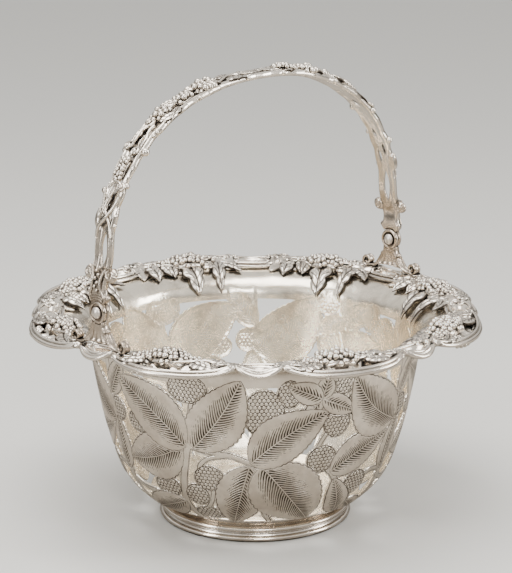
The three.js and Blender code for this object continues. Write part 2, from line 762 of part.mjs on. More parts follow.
// A slot through the band, between two angles
function bandSlot(fromAngle, toAngle, halfWidth) {
  const reach = BAND_THICKNESS * 2;
  const surface = (out) => (u, v) => {
    const angle = THREE.MathUtils.lerp(fromAngle, toAngle, u);
    const narrow = Math.sin(Math.PI * (0.12 + 0.76 * u));
    return bandPlace(angle, (2 * v - 1) * halfWidth * narrow, out);
  };
  return plate(3, 1, surface(-reach), surface(reach));
}

// Berries along the outside of the band, placed across it in berry radii
function bandBerries(angles, across, radius) {
  return angles.map((angle, i) => bead(
    radius,
    bandPlace(angle, radius * across[i % across.length], BAND_THICKNESS / 2 + radius * 0.55),
  ));
}

// A rounded knob or volute through the band's thickness
function bandKnob(angle, across, radius) {
  const geometry = new THREE.CylinderGeometry(radius, radius, BAND_THICKNESS + BAND_RAIL * 1.2, 7);
  geometry.rotateZ(Math.PI / 2);
  const inner = bandPlace(angle, across, 0);
  const outer = bandPlace(angle, across, 1);
  const direction = outer.clone().sub(inner);
  geometry.rotateY(-Math.atan2(direction.z, direction.x));
  geometry.translate(inner.x + direction.x * 0.4, inner.y, inner.z + direction.z * 0.4);
  return solidOf(geometry);
}

// The flat end of an arm: collar and neck above the pivot, lapped over the bracket's disc
function armEnd() {
  const neck = mirroredShape([
    [0, HINGE_DISC_RADIUS * 0.6],
    [NECK_HALF_WIDTH, HINGE_DISC_RADIUS * 0.7],
    [NECK_HALF_WIDTH + SHOULDER, HINGE_DISC_RADIUS * 1.3],
    [NECK_HALF_WIDTH + SHOULDER * 0.6, HINGE_DISC_RADIUS * 1.7],
    [BAND_WIDTH / 2, EAR_RISE - EAR_RADIUS],
    [BAND_WIDTH / 2, EAR_RISE],
    [0, EAR_RISE],
  ].filter(([y], i) => y > 0 || i === 0 || i === 6));
  return lapped(hingePlate(neck), innerDisc, outerDisc);
}

function handleArm() {
  const start = -(ARCH_SPRING - EAR_RISE + LEG_OVERLAP) / ARCH_RISE / DEGREE;
  const end = ARM_SPLICE_ANGLE - SEAT_GAP / 2 / ARCH_RISE / DEGREE;
  const half = (u) => BAND_WIDTH / 2 * (1 + 0.12 * Math.sin(u * 17));
  const ears = [-1, 1].map((side) => discAlongX(
    EAR_RADIUS,
    BAND_THICKNESS + BAND_RAIL,
    new THREE.Vector3(archPoint(start).x, side * EAR_REACH, PIVOT_Z + EAR_RISE),
    10,
  ));
  const solid = joined([
    band(start, end, 10, half),
    armEnd(),
    ...ears,
    bandKnob(26, BAND_WIDTH * 0.5, HANDLE_KNOB),
    bandKnob(36, -BAND_WIDTH * 0.5, HANDLE_KNOB),
    ...bandBerries([31, 33.5, 33.5], [0, -1, 1], HANDLE_BERRY),
    ...bandBerries([-2.5, -2.5], [-0.85, 0.85], HANDLE_BERRY),
  ]);
  return solid
    .subtract(bandSlot(0, 11, SLOT_HALF_WIDTH))
    .subtract(bandSlot(24.5, 29, SLOT_HALF_WIDTH * 0.6))
    .subtract(bandSlot(40, 47, SLOT_HALF_WIDTH * 0.8));
}

function handleCrown() {
  const start = ARM_SPLICE_ANGLE + SEAT_GAP / 2 / ARCH_RISE / DEGREE;
  const half = (u) => BAND_WIDTH / 2 * (1 + 0.1 * Math.cos(u * 4 * Math.PI));
  const crust = [];
  for (const side of [0, 1]) {
    const angles = [57, 60, 60, 63, 66, 66].map((angle) => (side ? 180 - angle : angle));
    crust.push(...bandBerries(angles, [0, -1.5, 1.5], HANDLE_BERRY));
  }
  return joined([
    band(start, 180 - start, 12, half),
    ...crust,
    ...bandBerries([87.5, 90, 90], [0, -1.2, 1.2], HANDLE_BERRY),
  ]);
}

// Assembly

const basket = new THREE.Group();
basket.add(piece('bowl', bowl(), finishes.sheet));
basket.add(piece('foot_ring', footRing(), finishes.foot));
basket.add(piece('foot_wire', footWire(), finishes.foot));

const lobe = rimLobe();
const scroll = rimScroll();
for (let i = 0; i < LOBES; i++) {
  const lobePiece = piece(`rim_lobe_${i + 1}`, lobe, finishes.cast);
  const scrollPiece = piece(`rim_scroll_${i + 1}`, scroll, finishes.cast);
  lobePiece.rotation.z = LOBE_PITCH * i * DEGREE;
  scrollPiece.rotation.z = LOBE_PITCH * i * DEGREE;
  basket.add(lobePiece, scrollPiece);
}

const bracket = hingeBracket();
const rivet = hingeRivet();
const arm = handleArm();
const handle = new THREE.Group();
for (const [side, turn] of [['right', 0], ['left', Math.PI]]) {
  const bracketPiece = piece(`hinge_bracket_${side}`, bracket, finishes.cast);
  const rivetPiece = piece(`hinge_rivet_${side}`, rivet, finishes.rivet);
  const armPiece = piece(`handle_arm_${side}`, arm, finishes.cast);
  for (const mesh of [bracketPiece, rivetPiece, armPiece]) {
    mesh.rotation.z = turn;
  }
  basket.add(bracketPiece, rivetPiece);
  handle.add(armPiece);
}
handle.add(piece('handle_crown', handleCrown(), finishes.cast));
basket.add(handle);

export default basket;
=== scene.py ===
"""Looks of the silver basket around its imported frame. Sizes are millimetres unless a name says
otherwise, and every mesh is scaled to metres when it is made. Angles are degrees about +Z from +X."""

import json
import math

import bpy
import numpy as np
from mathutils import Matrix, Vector

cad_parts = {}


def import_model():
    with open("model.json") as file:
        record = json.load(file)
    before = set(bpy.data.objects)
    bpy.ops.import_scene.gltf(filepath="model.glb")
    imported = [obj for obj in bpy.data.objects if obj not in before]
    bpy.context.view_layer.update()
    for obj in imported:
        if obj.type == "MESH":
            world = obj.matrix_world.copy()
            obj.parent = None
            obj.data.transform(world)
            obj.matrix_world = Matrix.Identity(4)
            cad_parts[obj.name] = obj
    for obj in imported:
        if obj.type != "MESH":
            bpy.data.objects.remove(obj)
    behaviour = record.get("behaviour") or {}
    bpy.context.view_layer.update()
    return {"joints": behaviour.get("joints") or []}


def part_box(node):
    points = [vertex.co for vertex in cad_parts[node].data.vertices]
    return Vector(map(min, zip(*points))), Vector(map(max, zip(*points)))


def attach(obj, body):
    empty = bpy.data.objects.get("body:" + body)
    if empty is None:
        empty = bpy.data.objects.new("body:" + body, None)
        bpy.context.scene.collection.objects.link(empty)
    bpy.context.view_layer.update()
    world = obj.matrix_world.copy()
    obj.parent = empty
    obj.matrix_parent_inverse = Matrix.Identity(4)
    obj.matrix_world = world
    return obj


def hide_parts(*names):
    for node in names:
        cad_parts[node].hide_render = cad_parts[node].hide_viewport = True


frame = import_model()

MM = 0.001


# Sizes from the frame

def box_corners(node):
    """Lowest and highest corner of a node's box."""
    low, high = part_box(node)
    return np.array(low) / MM, np.array(high) / MM


BOWL_LOW, BOWL_HIGH = box_corners("bowl")
WIRE_LOW, WIRE_HIGH = box_corners("foot_wire")
RIVET_LOW, RIVET_HIGH = box_corners("hinge_rivet_right")
BRACKET_LOW, BRACKET_HIGH = box_corners("hinge_bracket_right")

SHEET = 1.2
BASE_RADIUS = 57.0
BASE_Z = BOWL_LOW[2]
WALL_RADIUS = 108.0
FLARE_HEIGHT = 15.0
MOUTH_RADIUS = BOWL_HIGH[0]
MOUTH_Z = BOWL_HIGH[2] - SHEET
FOOT_RADIUS = box_corners("foot_ring")[1][0]
PIVOT_Z = frame["joints"][0]["pos_m"][2] / MM
HINGE_X = (RIVET_LOW[0] + RIVET_HIGH[0]) / 2
HALF_THICK = (BRACKET_HIGH[0] - BRACKET_LOW[0]) / 2
BRACKET_BASE = BRACKET_LOW[2] - PIVOT_Z
BRACKET_HALF_WIDTH = BRACKET_HIGH[1]


# Meshes

def add_object(name, data):
    made = bpy.data.objects.new(name, data)
    bpy.context.scene.collection.objects.link(made)
    return made


class Shape:
    """Collects corners in millimetres, faces and named values per corner, and makes one object."""

    def __init__(self):
        self.points = []
        self.faces = []
        self.values = []
        self.count = 0

    def add(self, points, faces, **values):
        self.faces += [group + self.count for group in faces]
        self.points.append(points.reshape(-1, 3))
        self.values.append(values)
        self.count += len(self.points[-1])

    def make(self, name, body, nodes, slot, material):
        mesh = bpy.data.meshes.new(name)
        points = np.concatenate(self.points) * MM
        sizes = np.concatenate([np.full(len(group), group.shape[1]) for group in self.faces])
        corners = np.concatenate([group.ravel() for group in self.faces])
        mesh.vertices.add(len(points))
        mesh.vertices.foreach_set("co", points.ravel())
        mesh.loops.add(len(corners))
        mesh.loops.foreach_set("vertex_index", corners)
        mesh.polygons.add(len(sizes))
        mesh.polygons.foreach_set("loop_start", np.concatenate([[0], np.cumsum(sizes)[:-1]]))
        mesh.polygons.foreach_set("loop_total", sizes)
        for key in sorted(set().union(*self.values)):
            parts = [np.broadcast_to(values.get(key, 0.0), len(group))
                     for values, group in zip(self.values, self.points)]
            mesh.attributes.new(key, "FLOAT", "POINT").data.foreach_set("value", np.concatenate(parts))
        mesh.update(calc_edges=True)
        mesh.validate()
        mesh.polygons.foreach_set("use_smooth", np.ones(len(mesh.polygons), bool))
        mesh.materials.append(material)
        piece = add_object(name, mesh)
        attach(piece, body)
        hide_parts(*nodes)


def smooth_path(points, steps):
    """Points along a smooth curve through the given ones."""
    points = [np.asarray(p, float) for p in points]
    padded = [2 * points[0] - points[1], *points, 2 * points[-1] - points[-2]]
    path = []
    for a, b, c, d in zip(padded, padded[1:], padded[2:], padded[3:]):
        for i in range(steps):
            t = i / steps
            path.append(0.5 * (2 * b + (c - a) * t + (2 * a - 5 * b + 4 * c - d) * t * t
                               + (3 * b - a - 3 * c + d) * t ** 3))
    path.append(points[-1])
    return np.array(path)


def polar(radius, angle, z):
    turn = np.radians(angle)
    return np.stack(np.broadcast_arrays(radius * np.cos(turn), radius * np.sin(turn), z), -1)


def smoothstep(low, high, x):
    t = np.clip((x - low) / (high - low), 0.0, 1.0)
    return t * t * (3 - 2 * t)


def ridge(x, middle, width):
    """A smooth hump that is 1 at its middle and nearly 0 two widths away."""
    return np.exp(-((x - middle) / width) ** 2)


def line_lengths(points):
    """Length along a line up to each of its points."""
    return np.concatenate([[0], np.cumsum(np.linalg.norm(np.diff(points, axis=0), axis=1))])


def grid_faces(rows, columns, wrap=False):
    """Quads of a grid whose corners are counted row by row."""
    i = np.arange(rows - 1)[:, None]
    j = np.arange(columns if wrap else columns - 1)[None, :]
    k = (j + 1) % columns
    return np.stack(np.broadcast_arrays(i * columns + j, i * columns + k,
                                        (i + 1) * columns + k, (i + 1) * columns + j), -1).reshape(-1, 4)


def tube(shape, path, radius, sides=8, flat=1.0, normal=None):
    """A round bar along a path. radius is one number or one for each point; flat squeezes it
    along the normal."""
    count = len(path)
    radius = np.broadcast_to(radius, count)[:, None, None]
    ahead = np.gradient(path, axis=0)
    ahead /= np.linalg.norm(ahead, axis=1, keepdims=True)
    up = np.array([0.0, 0.0, 1.0]) if abs(ahead[0][2]) < 0.9 else np.array([1.0, 0.0, 0.0])
    ups = []
    for direction in ahead:
        up = up if normal is None else normal
        up = up - direction * (up @ direction)
        up = up / np.linalg.norm(up)
        ups.append(up)
    ups = np.array(ups)
    side = np.cross(ahead, ups)
    turn = (2 * np.pi * np.arange(sides) / sides)[:, None]
    ring = path[:, None] + radius * (np.cos(turn) * side[:, None] + flat * np.sin(turn) * ups[:, None])
    j = np.arange(sides)
    k = (j + 1) % sides
    first = count * sides
    caps = [np.stack([k, j, np.full(sides, first)], -1),
            np.stack([first - sides + j, first - sides + k, np.full(sides, first + 1)], -1)]
    shape.add(np.vstack([ring.reshape(-1, 3), path[0], path[-1]]),
              [grid_faces(count, sides, wrap=True)[:, ::-1], *caps])


def unit_ball(rings=6, sides=10):
    """Corners and faces of a ball of radius 1."""
    points = [(0, 0, 1.0)]
    for i in range(1, rings):
        lean = math.pi * i / rings
        for j in range(sides):
            turn = 2 * math.pi * (j + 0.5 * (i % 2)) / sides
            points.append((math.sin(lean) * math.cos(turn), math.sin(lean) * math.sin(turn), math.cos(lean)))
    points.append((0, 0, -1.0))
    last = len(points) - 1
    triangles = []
    for j in range(sides):
        k = (j + 1) % sides
        triangles.append((0, 1 + j, 1 + k))
        triangles.append((last, last - sides + k, last - sides + j))
        for a in range(1, last - sides, sides):
            b = a + sides
            triangles += [(a + j, b + j, b + k), (a + j, b + k, a + k)]
    return np.array(points), np.array(triangles)


BALL_POINTS, BALL_FACES = unit_ball()


def balls(shape, centres, radii):
    for centre, radius in zip(centres, np.broadcast_to(radii, len(centres))):
        shape.add(BALL_POINTS * radius + centre, [BALL_FACES])


def lathe(shape, profile, sides=160):
    """A turned ring. The profile is (radius, z) points, clockwise as seen with z up and radius right."""
    angle = 360.0 * np.arange(sides) / sides
    faces = grid_faces(len(profile) + 1, sides, wrap=True) % (len(profile) * sides)
    shape.add(polar(profile[:, :1], angle, profile[:, 1:]), [faces])


# smallest share of a cell's side that a cut leaves
SLIVER = 0.06


def cut_sheet(u, v, field, period=None):
    """The part of a grid where the field is above 0, with corners put on its edge: the corners'
    (u, v) and the triangles."""
    columns, rows = len(u), len(v)
    i = np.arange(columns if period else columns - 1)[:, None]
    j = np.arange(rows - 1)[None, :]
    a, b = i * rows + j, (i + 1) % columns * rows + j
    a, b, c, d, odd = (x.ravel() for x in np.broadcast_arrays(a, b, b + 1, a + 1, (i + j) % 2 == 1))
    odd = odd[:, None]
    triangles = np.vstack([np.where(odd, np.stack([a, b, d], -1), np.stack([a, b, c], -1)),
                           np.where(odd, np.stack([b, c, d], -1), np.stack([a, c, d], -1))])
    level = field.ravel()
    inside = level > 0
    number = inside[triangles].sum(1)

    def lone_first(count, lone):
        """Triangles with that many corners inside, turned so that the odd corner comes first."""
        group = triangles[number == count]
        at = np.argmax(inside[group] == lone, axis=1)
        return np.take_along_axis(group, (at[:, None] + np.arange(3)) % 3, 1)

    one, two = lone_first(1, True), lone_first(2, False)
    start = np.concatenate([one[:, 0], one[:, 0], two[:, 1], two[:, 2]])
    end = np.concatenate([one[:, 1], one[:, 2], two[:, 0], two[:, 0]])
    edges, index = np.unique(np.stack([start, end], -1), axis=0, return_inverse=True)
    from_level, to_level = level[edges].T
    share = np.clip(from_level / (from_level - to_level), SLIVER, 1 - SLIVER)
    where = np.stack(np.meshgrid(u, v, indexing="ij"), -1).reshape(-1, 2)
    step = where[edges[:, 1]] - where[edges[:, 0]]
    if period:
        step[:, 0] = (step[:, 0] + period / 2) % period - period / 2
    cuts = where[edges[:, 0]] + step * share[:, None]
    new = np.split(index.ravel() + columns * rows, np.cumsum([len(one), len(one), len(two)]))
    kept = np.vstack([triangles[number == 3], np.stack([one[:, 0], new[0], new[1]], -1),
                      np.stack([two[:, 1], two[:, 2], new[3]], -1),
                      np.stack([two[:, 1], new[3], new[2]], -1)])
    used, flat = np.unique(kept, return_inverse=True)
    return np.vstack([where, cuts])[used], flat.reshape(-1, 3)


def open_edges(faces):
    """Directed edges that only one triangle has."""
    edges = np.vstack([faces[:, [0, 1]], faces[:, [1, 2]], faces[:, [2, 0]]])
    top = edges.max() + 1
    return edges[~np.isin(edges @ [top, 1], edges @ [1, top])]


def two_sided(shape, outer, inner, faces, **values):
    """Closes a sheet between an outer and an inner surface that share their triangles."""
    count = len(outer)
    a, b = open_edges(faces).T
    walls = np.stack([a + count, b + count, b, a], -1)
    both = {key: np.concatenate([value, value]) for key, value in values.items()}
    shape.add(np.vstack([outer, inner]), [faces, faces[:, ::-1] + count, walls],
              outside=np.repeat([1.0, 0.0], count), **both)


def plate(shape, place, a, b, top, bottom, **values):
    """A closed plate on a grid of a chart, between two heights above the charted surface."""
    top, bottom = place(a, b, top), place(a, b, bottom)
    rows, columns = top.shape[:2]
    i, j = rows // 2, columns // 2
    facing = np.cross(top[i + 1, j] - top[i, j], top[i, j + 1] - top[i, j]) @ (top[i, j] - bottom[i, j])
    if facing < 0:
        top, bottom = top[::-1], bottom[::-1]
    faces = grid_faces(rows, columns)
    triangles = np.vstack([faces[:, [0, 1, 2]], faces[:, [0, 2, 3]]])
    two_sided(shape, top.reshape(-1, 3), bottom.reshape(-1, 3), triangles, **values)


def tapered(shape, place, points, first, last):
    """A round bar through chart points whose radius changes evenly along it."""
    tube(shape, place(*points.T), np.linspace(first, last, len(points)))


def strand(shape, place, points, radii, steps=6):
    """A smooth round bar through chart points, with radii spread evenly along it."""
    path = smooth_path(points, steps)
    share = np.linspace(0, len(radii) - 1, len(path))
    tube(shape, place(*path.T), np.interp(share, range(len(radii)), radii))


def knobs(shape, place, rows):
    """Beads on a chart. A row is the bead's three-part place and its radius."""
    rows = np.array(rows, float)
    balls(shape, place(*rows[:, :3].T), rows[:, 3])


VOLUTE_END = 0.25
VOLUTE_RISE = 1.2


def volute(x, w, h, size, turns, start, hand, steps=22):
    """Points of a flat spiral that ends at its middle."""
    t = np.linspace(0, 1, steps)
    turn = math.radians(start) + hand * 2 * math.pi * turns * t
    reach = size * (1 - t) ** 0.8 + VOLUTE_END
    return np.stack([x + reach * np.cos(turn), w + reach * np.sin(turn), h + VOLUTE_RISE * t], -1)


def boss(shape, place, x, w, half_x, half_w, dome, base, floor=0.2):
    """A smooth oval dome."""
    across = np.linspace(-1, 1, 11)[None, :]
    along = np.linspace(-1, 1, 15)[:, None] * np.sqrt(np.clip(1 - across ** 2, 0, 1)) * half_x
    side = np.broadcast_to(across * half_w, along.shape)
    share = np.clip(1 - (along / half_x) ** 2 - (side / half_w) ** 2, 0, 1)
    plate(shape, place, x + along, w + side, np.maximum(base + dome * np.sqrt(share), floor + 0.7), floor)


def curled_leaf(shape, place, x, w, size, base, start, hand):
    """A leaf rolled up into a round bud, with the edge of the roll as a spiral on it."""
    boss(shape, place, x, w, size, size * 0.92, 2.6, base, 0.15)
    curl = volute(x, w, base + 1.4, size * 0.86, 1.25, start, hand)
    reach = (curl[:, 0] - x) ** 2 + (curl[:, 1] - w) ** 2
    curl[:, 2] = base + 0.3 + 2.6 * np.sqrt(np.clip(1 - reach / size ** 2, 0, 1))
    tapered(shape, place, curl, 0.75, 0.5)


# spacing and random changes within a heap, as shares of a berry's radius
BERRY_STEP = 1.78
BERRY_SHIFT = 0.3
BERRY_LIFTS = (-0.4, 0.5)
BERRY_SIZES = (0.82, 1.15)
# distance between rows as a share of the distance in a row
ROW_STEP = 0.87


def heap(shape, place, x, w, half_x, half_w, dome, base, radius, seed, floor=0.2):
    """A heap of berries on an oval dome."""
    rng = np.random.default_rng(seed)
    step = radius * BERRY_STEP
    rows = int(half_w / (step * ROW_STEP)) + 1
    columns = int(half_x / step) + 1
    places = []
    for row in range(-rows, rows + 1):
        for column in range(-columns, columns + 1):
            px = (column + 0.5 * (row % 2)) * step
            pw = row * step * ROW_STEP
            reach = math.hypot(px / half_x, pw / half_w)
            if reach <= 1.0:
                jitter = rng.uniform(-BERRY_SHIFT, BERRY_SHIFT, 3) * radius
                high = base + dome * math.sqrt(max(0.0, 1 - reach ** 2))
                high = high + rng.uniform(*BERRY_LIFTS) * radius
                places.append((x + px + jitter[0], w + pw + jitter[1], high))
    balls(shape, place(*np.array(places).T), radius * rng.uniform(*BERRY_SIZES, len(places)))
    boss(shape, place, x, w, half_x, half_w, dome, base - radius * 0.5, floor)


LEAF_ACROSS = np.array([-1, -0.9, -0.68, -0.42, -0.22, -0.1, 0, 0.1, 0.22, 0.42, 0.68, 0.9, 1])
LEAF_STEPS = 25
LEAF_THICKNESS = 0.9


def leaf(shape, place, x, w, heading, length, width, lobes, stand, arch=1.0, curl=0.4, bend=0.0, low=0.15):
    """A leaf on a chart. heading 0 is along the chart's first way, 90 along its second. stand is its
    height at the base, the middle and the tip, and low the least height of its underside."""
    t = np.linspace(0, 1, LEAF_STEPS)[:, None]
    s = LEAF_ACROSS[None, :]
    side = np.abs(s)
    outline = np.sin(np.pi * np.clip(t, 0, 1) ** 0.72) ** 0.7
    notch = np.abs(np.sin(np.pi * (lobes * t + 0.15))) ** 0.7
    wide = width / 2 * outline * (0.66 + 0.4 * notch) + 0.12
    along = length * t + 0.9 * (notch - 0.5) * side ** 2 * outline - 0.12 * length * side * outline
    across = wide * s + bend * np.sin(np.pi * t)
    rise = arch * (1 - (2 * side - 1) ** 2) * outline
    rise = rise - curl * side ** 3 * outline
    groove = -0.55 * ridge(side, 0.16, 0.1) + 0.3 * ridge(side, 0, 0.06)
    veins = 0.22 * np.sin(2 * np.pi * lobes * (t - 0.25 * side)) * side
    rise = rise + (groove + veins) * outline
    thin = LEAF_THICKNESS * (0.45 + 0.55 * outline)
    turn = math.radians(heading)
    place_x = x + along * math.cos(turn) - across * math.sin(turn)
    place_w = w + along * math.sin(turn) + across * math.cos(turn)
    base, middle, tip = stand
    top = np.maximum(base * (1 - t) ** 2 + 2 * middle * t * (1 - t) + tip * t ** 2 + rise, low + 0.5)
    plate(shape, place, place_x, place_w, top, np.maximum(top - thin, low), on_leaf=np.ones(top.size),
          leaf_share=np.repeat(t, len(LEAF_ACROSS)), leaf_side=np.tile(LEAF_ACROSS, LEAF_STEPS))


# Wall of the bowl

# shares of the way out and up, from the foot to where the flare begins
BODY_SHAPE = [(0, 0), (0.176, 0.024), (0.353, 0.067), (0.608, 0.219), (0.794, 0.486), (0.912, 0.743), (1, 1)]
FLARE_STEPS = 4
FLOOR_REACH = 50.0
OUTWARD_REACH = 30.0
NORMAL_STEP = 1.5


def wall_outline():
    """Points (radius, z) of the outer face, from the foot to the mouth."""
    wall_top = MOUTH_Z - FLARE_HEIGHT
    points = [(BASE_RADIUS + (WALL_RADIUS - BASE_RADIUS) * out, BASE_Z + (wall_top - BASE_Z) * up)
              for out, up in BODY_SHAPE]
    for i in range(1, FLARE_STEPS + 1):
        turn = math.pi / 2 * i / FLARE_STEPS
        points.append((WALL_RADIUS + (MOUTH_RADIUS - WALL_RADIUS) * (1 - math.cos(turn)),
                       wall_top + FLARE_HEIGHT * math.sin(turn)))
    return points


WALL = smooth_path(wall_outline(), 12)
WALL_LENGTH = float(np.sum(np.linalg.norm(np.diff(WALL, axis=0), axis=1)))
# the wall's line, continued level inward as the floor and outward past the mouth
OUTLINE = np.vstack([WALL[0] - [FLOOR_REACH, 0], WALL[0] - [FLOOR_REACH / 2, 0], WALL,
                     WALL[-1] + [OUTWARD_REACH / 2, 0], WALL[-1] + [OUTWARD_REACH, 0]])
OUTLINE_LENGTH = line_lengths(OUTLINE) - FLOOR_REACH


def outline_at(length):
    return np.array([np.interp(length, OUTLINE_LENGTH, column) for column in OUTLINE.T])


def wall_place(length, inward=0.0):
    """Radius and height at a length up the wall from its foot, moved in from the outer face."""
    radius, z = outline_at(length)
    ahead_r, ahead_z = outline_at(length + NORMAL_STEP) - outline_at(length - NORMAL_STEP)
    size = np.hypot(ahead_r, ahead_z)
    return radius - ahead_z / size * inward, z + ahead_r / size * inward


def on_wall(angle, length, inward=0.0):
    radius, z = wall_place(length, inward)
    return polar(radius, angle, z)


# Piercing and engraving of the bowl

# Angles are degrees from the middle of a repeat and heights are shares of the pierced band.
REPEATS = 3
REPEAT_TURN = 360.0 / REPEATS
REPEAT_FRONT = -136.0
SHIFTS = (-REPEAT_TURN, 0.0, REPEAT_TURN)
BAND_START = 12.0
BAND_END = 26.0
BAND_LENGTH = WALL_LENGTH - BAND_START - BAND_END
MOTIF_MARGIN = 0.9
SERRATION = 0.06
BERRY_PITCH = 2.7
BERRY_ROWS = BERRY_PITCH * math.sqrt(3)

# base angle, base share, tip angle, tip share, half width, bend, teeth
LEAVES = [
    (-25.5, 0.605, -53.0, 0.955, 18.5, -3.0, 9),
    (-22.5, 0.600, -4.5, 1.035, 17.5, -3.0, 9),
    (-1.5, 0.525, 25.5, 0.825, 16.5, 3.0, 9),
    (60.0, 0.66, 35.0, 1.010, 19.0, 6.0, 9),
    (29.5, 0.430, 56.5, 0.61, 13.5, 2.0, 8),
    (2.5, 0.505, 26.0, 0.045, 22.0, 0.0, 9),
    (-2.0, 0.505, -10.5, 0.02, 15.5, 0.0, 8),
    (-27.0, 0.600, -55.0, 0.440, 17.0, 3.0, 8),
    (23.0, 0.905, 11.0, 1.0, 7.5, 0.0, 5),
    (23.0, 0.905, 25.0, 1.05, 6.5, 0.0, 5),
    (23.0, 0.905, 36.5, 0.80, 7.0, 0.0, 5),
    (23.0, 0.905, 17.0, 0.80, 5.0, 0.0, 4),
    (-60.5, 0.34, -58.5, 0.68, 9.0, 0.0, 6),
    (-60.0, 0.82, -50.0, 1.06, 8.0, 0.0, 6),
    (-30.0, 0.22, -59.0, 0.02, 12.0, 0.0, 7),
    (41.0, 0.06, 32.0, 0.38, 9.0, 0.0, 6),
    (44.0, 0.16, 61.0, -0.02, 8.0, 0.0, 6),
]

# angle, share, half width, half height
CLUSTERS = [
    (-23.0, 0.965, 13.0, 9.5),
    (3.0, 0.835, 12.5, 15.5),
    (11.5, 0.95, 7.0, 9.0),
    (31.0, 0.990, 8.0, 8.0),
    (36.0, 0.85, 6.0, 7.5),
    (29.5, 0.745, 9.0, 9.5),
    (25.0, 0.525, 9.5, 9.5),
    (-17.5, 0.41, 9.5, 9.0),
    (-23.5, 0.285, 7.5, 8.0),
    (-37.0, 0.31, 9.5, 7.5),
    (-20.0, 0.13, 9.5, 7.0),
    (-45.5, 0.70, 8.5, 7.0),
    (-57.0, 0.735, 7.5, 7.5),
    (43.5, 0.31, 9.0, 9.0),
    (43.5, 0.70, 8.0, 8.0),
]

STEM_HALF_WIDTH = 2.2
# points of the middle line, half width
STEMS = [
    ([(-24.5, 0.62), (-27.0, 0.47), (-29.0, 0.33), (-29.5, 0.2), (-27.0, 0.06), (-25.0, -0.06)],
     STEM_HALF_WIDTH),
    ([(-24.0, 0.61), (-18.0, 0.59), (-9.0, 0.57), (-3.0, 0.535), (4.0, 0.49)], 1.6),
    ([(-16.0, 0.44), (-21.0, 0.47), (-17.5, 0.54), (-9.0, 0.575)], 1.4),
    ([(-15.7, 0.38), (-17.5, 0.26), (-20.5, 0.16), (-21.5, -0.05)], 1.3),
    ([(29.0, 0.45), (36.0, 0.30), (43.0, 0.2), (42.5, 0.08), (38.0, -0.05)], 1.9),
    ([(29.0, 0.43), (24.0, 0.52), (23.0, 0.6), (28.0, 0.75)], 1.3),
    ([(-24.5, 0.6), (-23.5, 0.74), (-22.0, 0.86), (-22.0, 0.95)], 1.5),
    ([(44.0, 0.32), (52.0, 0.36), (62.0, 0.34)], 1.4),
    ([(-61.0, 0.3), (-54.0, 0.25), (-45.0, 0.24)], 1.5),
    ([(3.0, 0.2), (6.0, 0.08), (10.0, -0.05)], 1.5),
    ([(-REPEAT_TURN / 2 + 0.9 * math.sin(1.4 * i), -0.05 + 1.1 * i / 6) for i in range(7)],
     STEM_HALF_WIDTH),
]


def band_radius(share):
    return float(wall_place(BAND_START + BAND_LENGTH * share)[0])


def leaf_field(x, y, row):
    """Distance inside a leaf's edge, length along it, distance from its rib and share of its width."""
    base_angle, base_share, tip_angle, tip_share, half_width, bend, teeth = row
    radius = band_radius((base_share + tip_share) / 2)
    base = np.array([math.radians(base_angle) * radius, base_share * BAND_LENGTH])
    reach = np.array([math.radians(tip_angle) * radius, tip_share * BAND_LENGTH]) - base
    length = np.linalg.norm(reach)
    ahead = reach / length
    dx = np.radians(x) * radius - base[0]
    dy = y - base[1]
    t = (dx * ahead[0] + dy * ahead[1]) / length
    share = np.clip(t, 0.0, 1.0)
    s = -dx * ahead[1] + dy * ahead[0] - bend * np.sin(np.pi * share)
    scallop = np.abs(np.sin(np.pi * share * teeth * 1.6)) ** 0.6
    width = half_width * np.sin(np.pi * share ** 0.78) ** 0.72 * (1.0 + SERRATION * (scallop - 0.6))
    beyond = np.maximum(np.maximum(-t, t - 1.0), 0.0) * length
    return width - np.abs(s) - beyond, t * length, s, np.abs(s) / np.maximum(width, 0.5)


def cluster_field(x, y, row):
    """Distance inside a cluster's edge, and the place from its middle."""
    angle, share, half_width, half_height = row
    dx = np.radians(x - angle) * band_radius(share)
    dy = y - share * BAND_LENGTH
    reach = np.hypot(dx / half_width, dy / half_height)
    berries = round(math.pi * (half_width + half_height) / BERRY_PITCH / 2)
    scallop = 0.35 * np.abs(np.sin(np.arctan2(dy, dx) * berries))
    inside = np.where(reach > 1e-6, np.hypot(dx, dy) * (1.0 / np.maximum(reach, 1e-6) - 1.0),
                      min(half_width, half_height))
    return inside + scallop, dx, dy, np.ones(len(x))


def stem_field(x, y, row):
    """Distance inside a stem's edge, also as the place across it."""
    points, half_width = row
    curve = smooth_path([(angle, share * BAND_LENGTH) for angle, share in points], 8)
    best = np.full(x.shape, -1e9)
    for (x0, y0), (x1, y1) in zip(curve[:-1], curve[1:]):
        radius = band_radius((y0 + y1) / 2 / BAND_LENGTH) * math.pi / 180
        ex, ey = (x1 - x0) * radius, y1 - y0
        px, py = (x - x0) * radius, y - y0
        t = np.clip((px * ex + py * ey) / (ex * ex + ey * ey), 0, 1)
        best = np.maximum(best, half_width - np.hypot(px - t * ex, py - t * ey))
    return best, np.zeros(len(x)), best, np.ones(len(x))


LEAF_LEVELS = ("leaf_1", "leaf_2", "leaf_3", "leaf_4")
LEVELS = (*LEAF_LEVELS, "berry", "stem")
PLACE_NAMES = ("along", "across", "share")
FAR_OUTSIDE = -3.0
COORDINATE_MARGIN = 0.8
LAYER_GRID_ANGLE = 90.0
LAYER_GRID_STEPS = (1.0, 1.5)
LAYER_GRID_MARGIN = 4.0


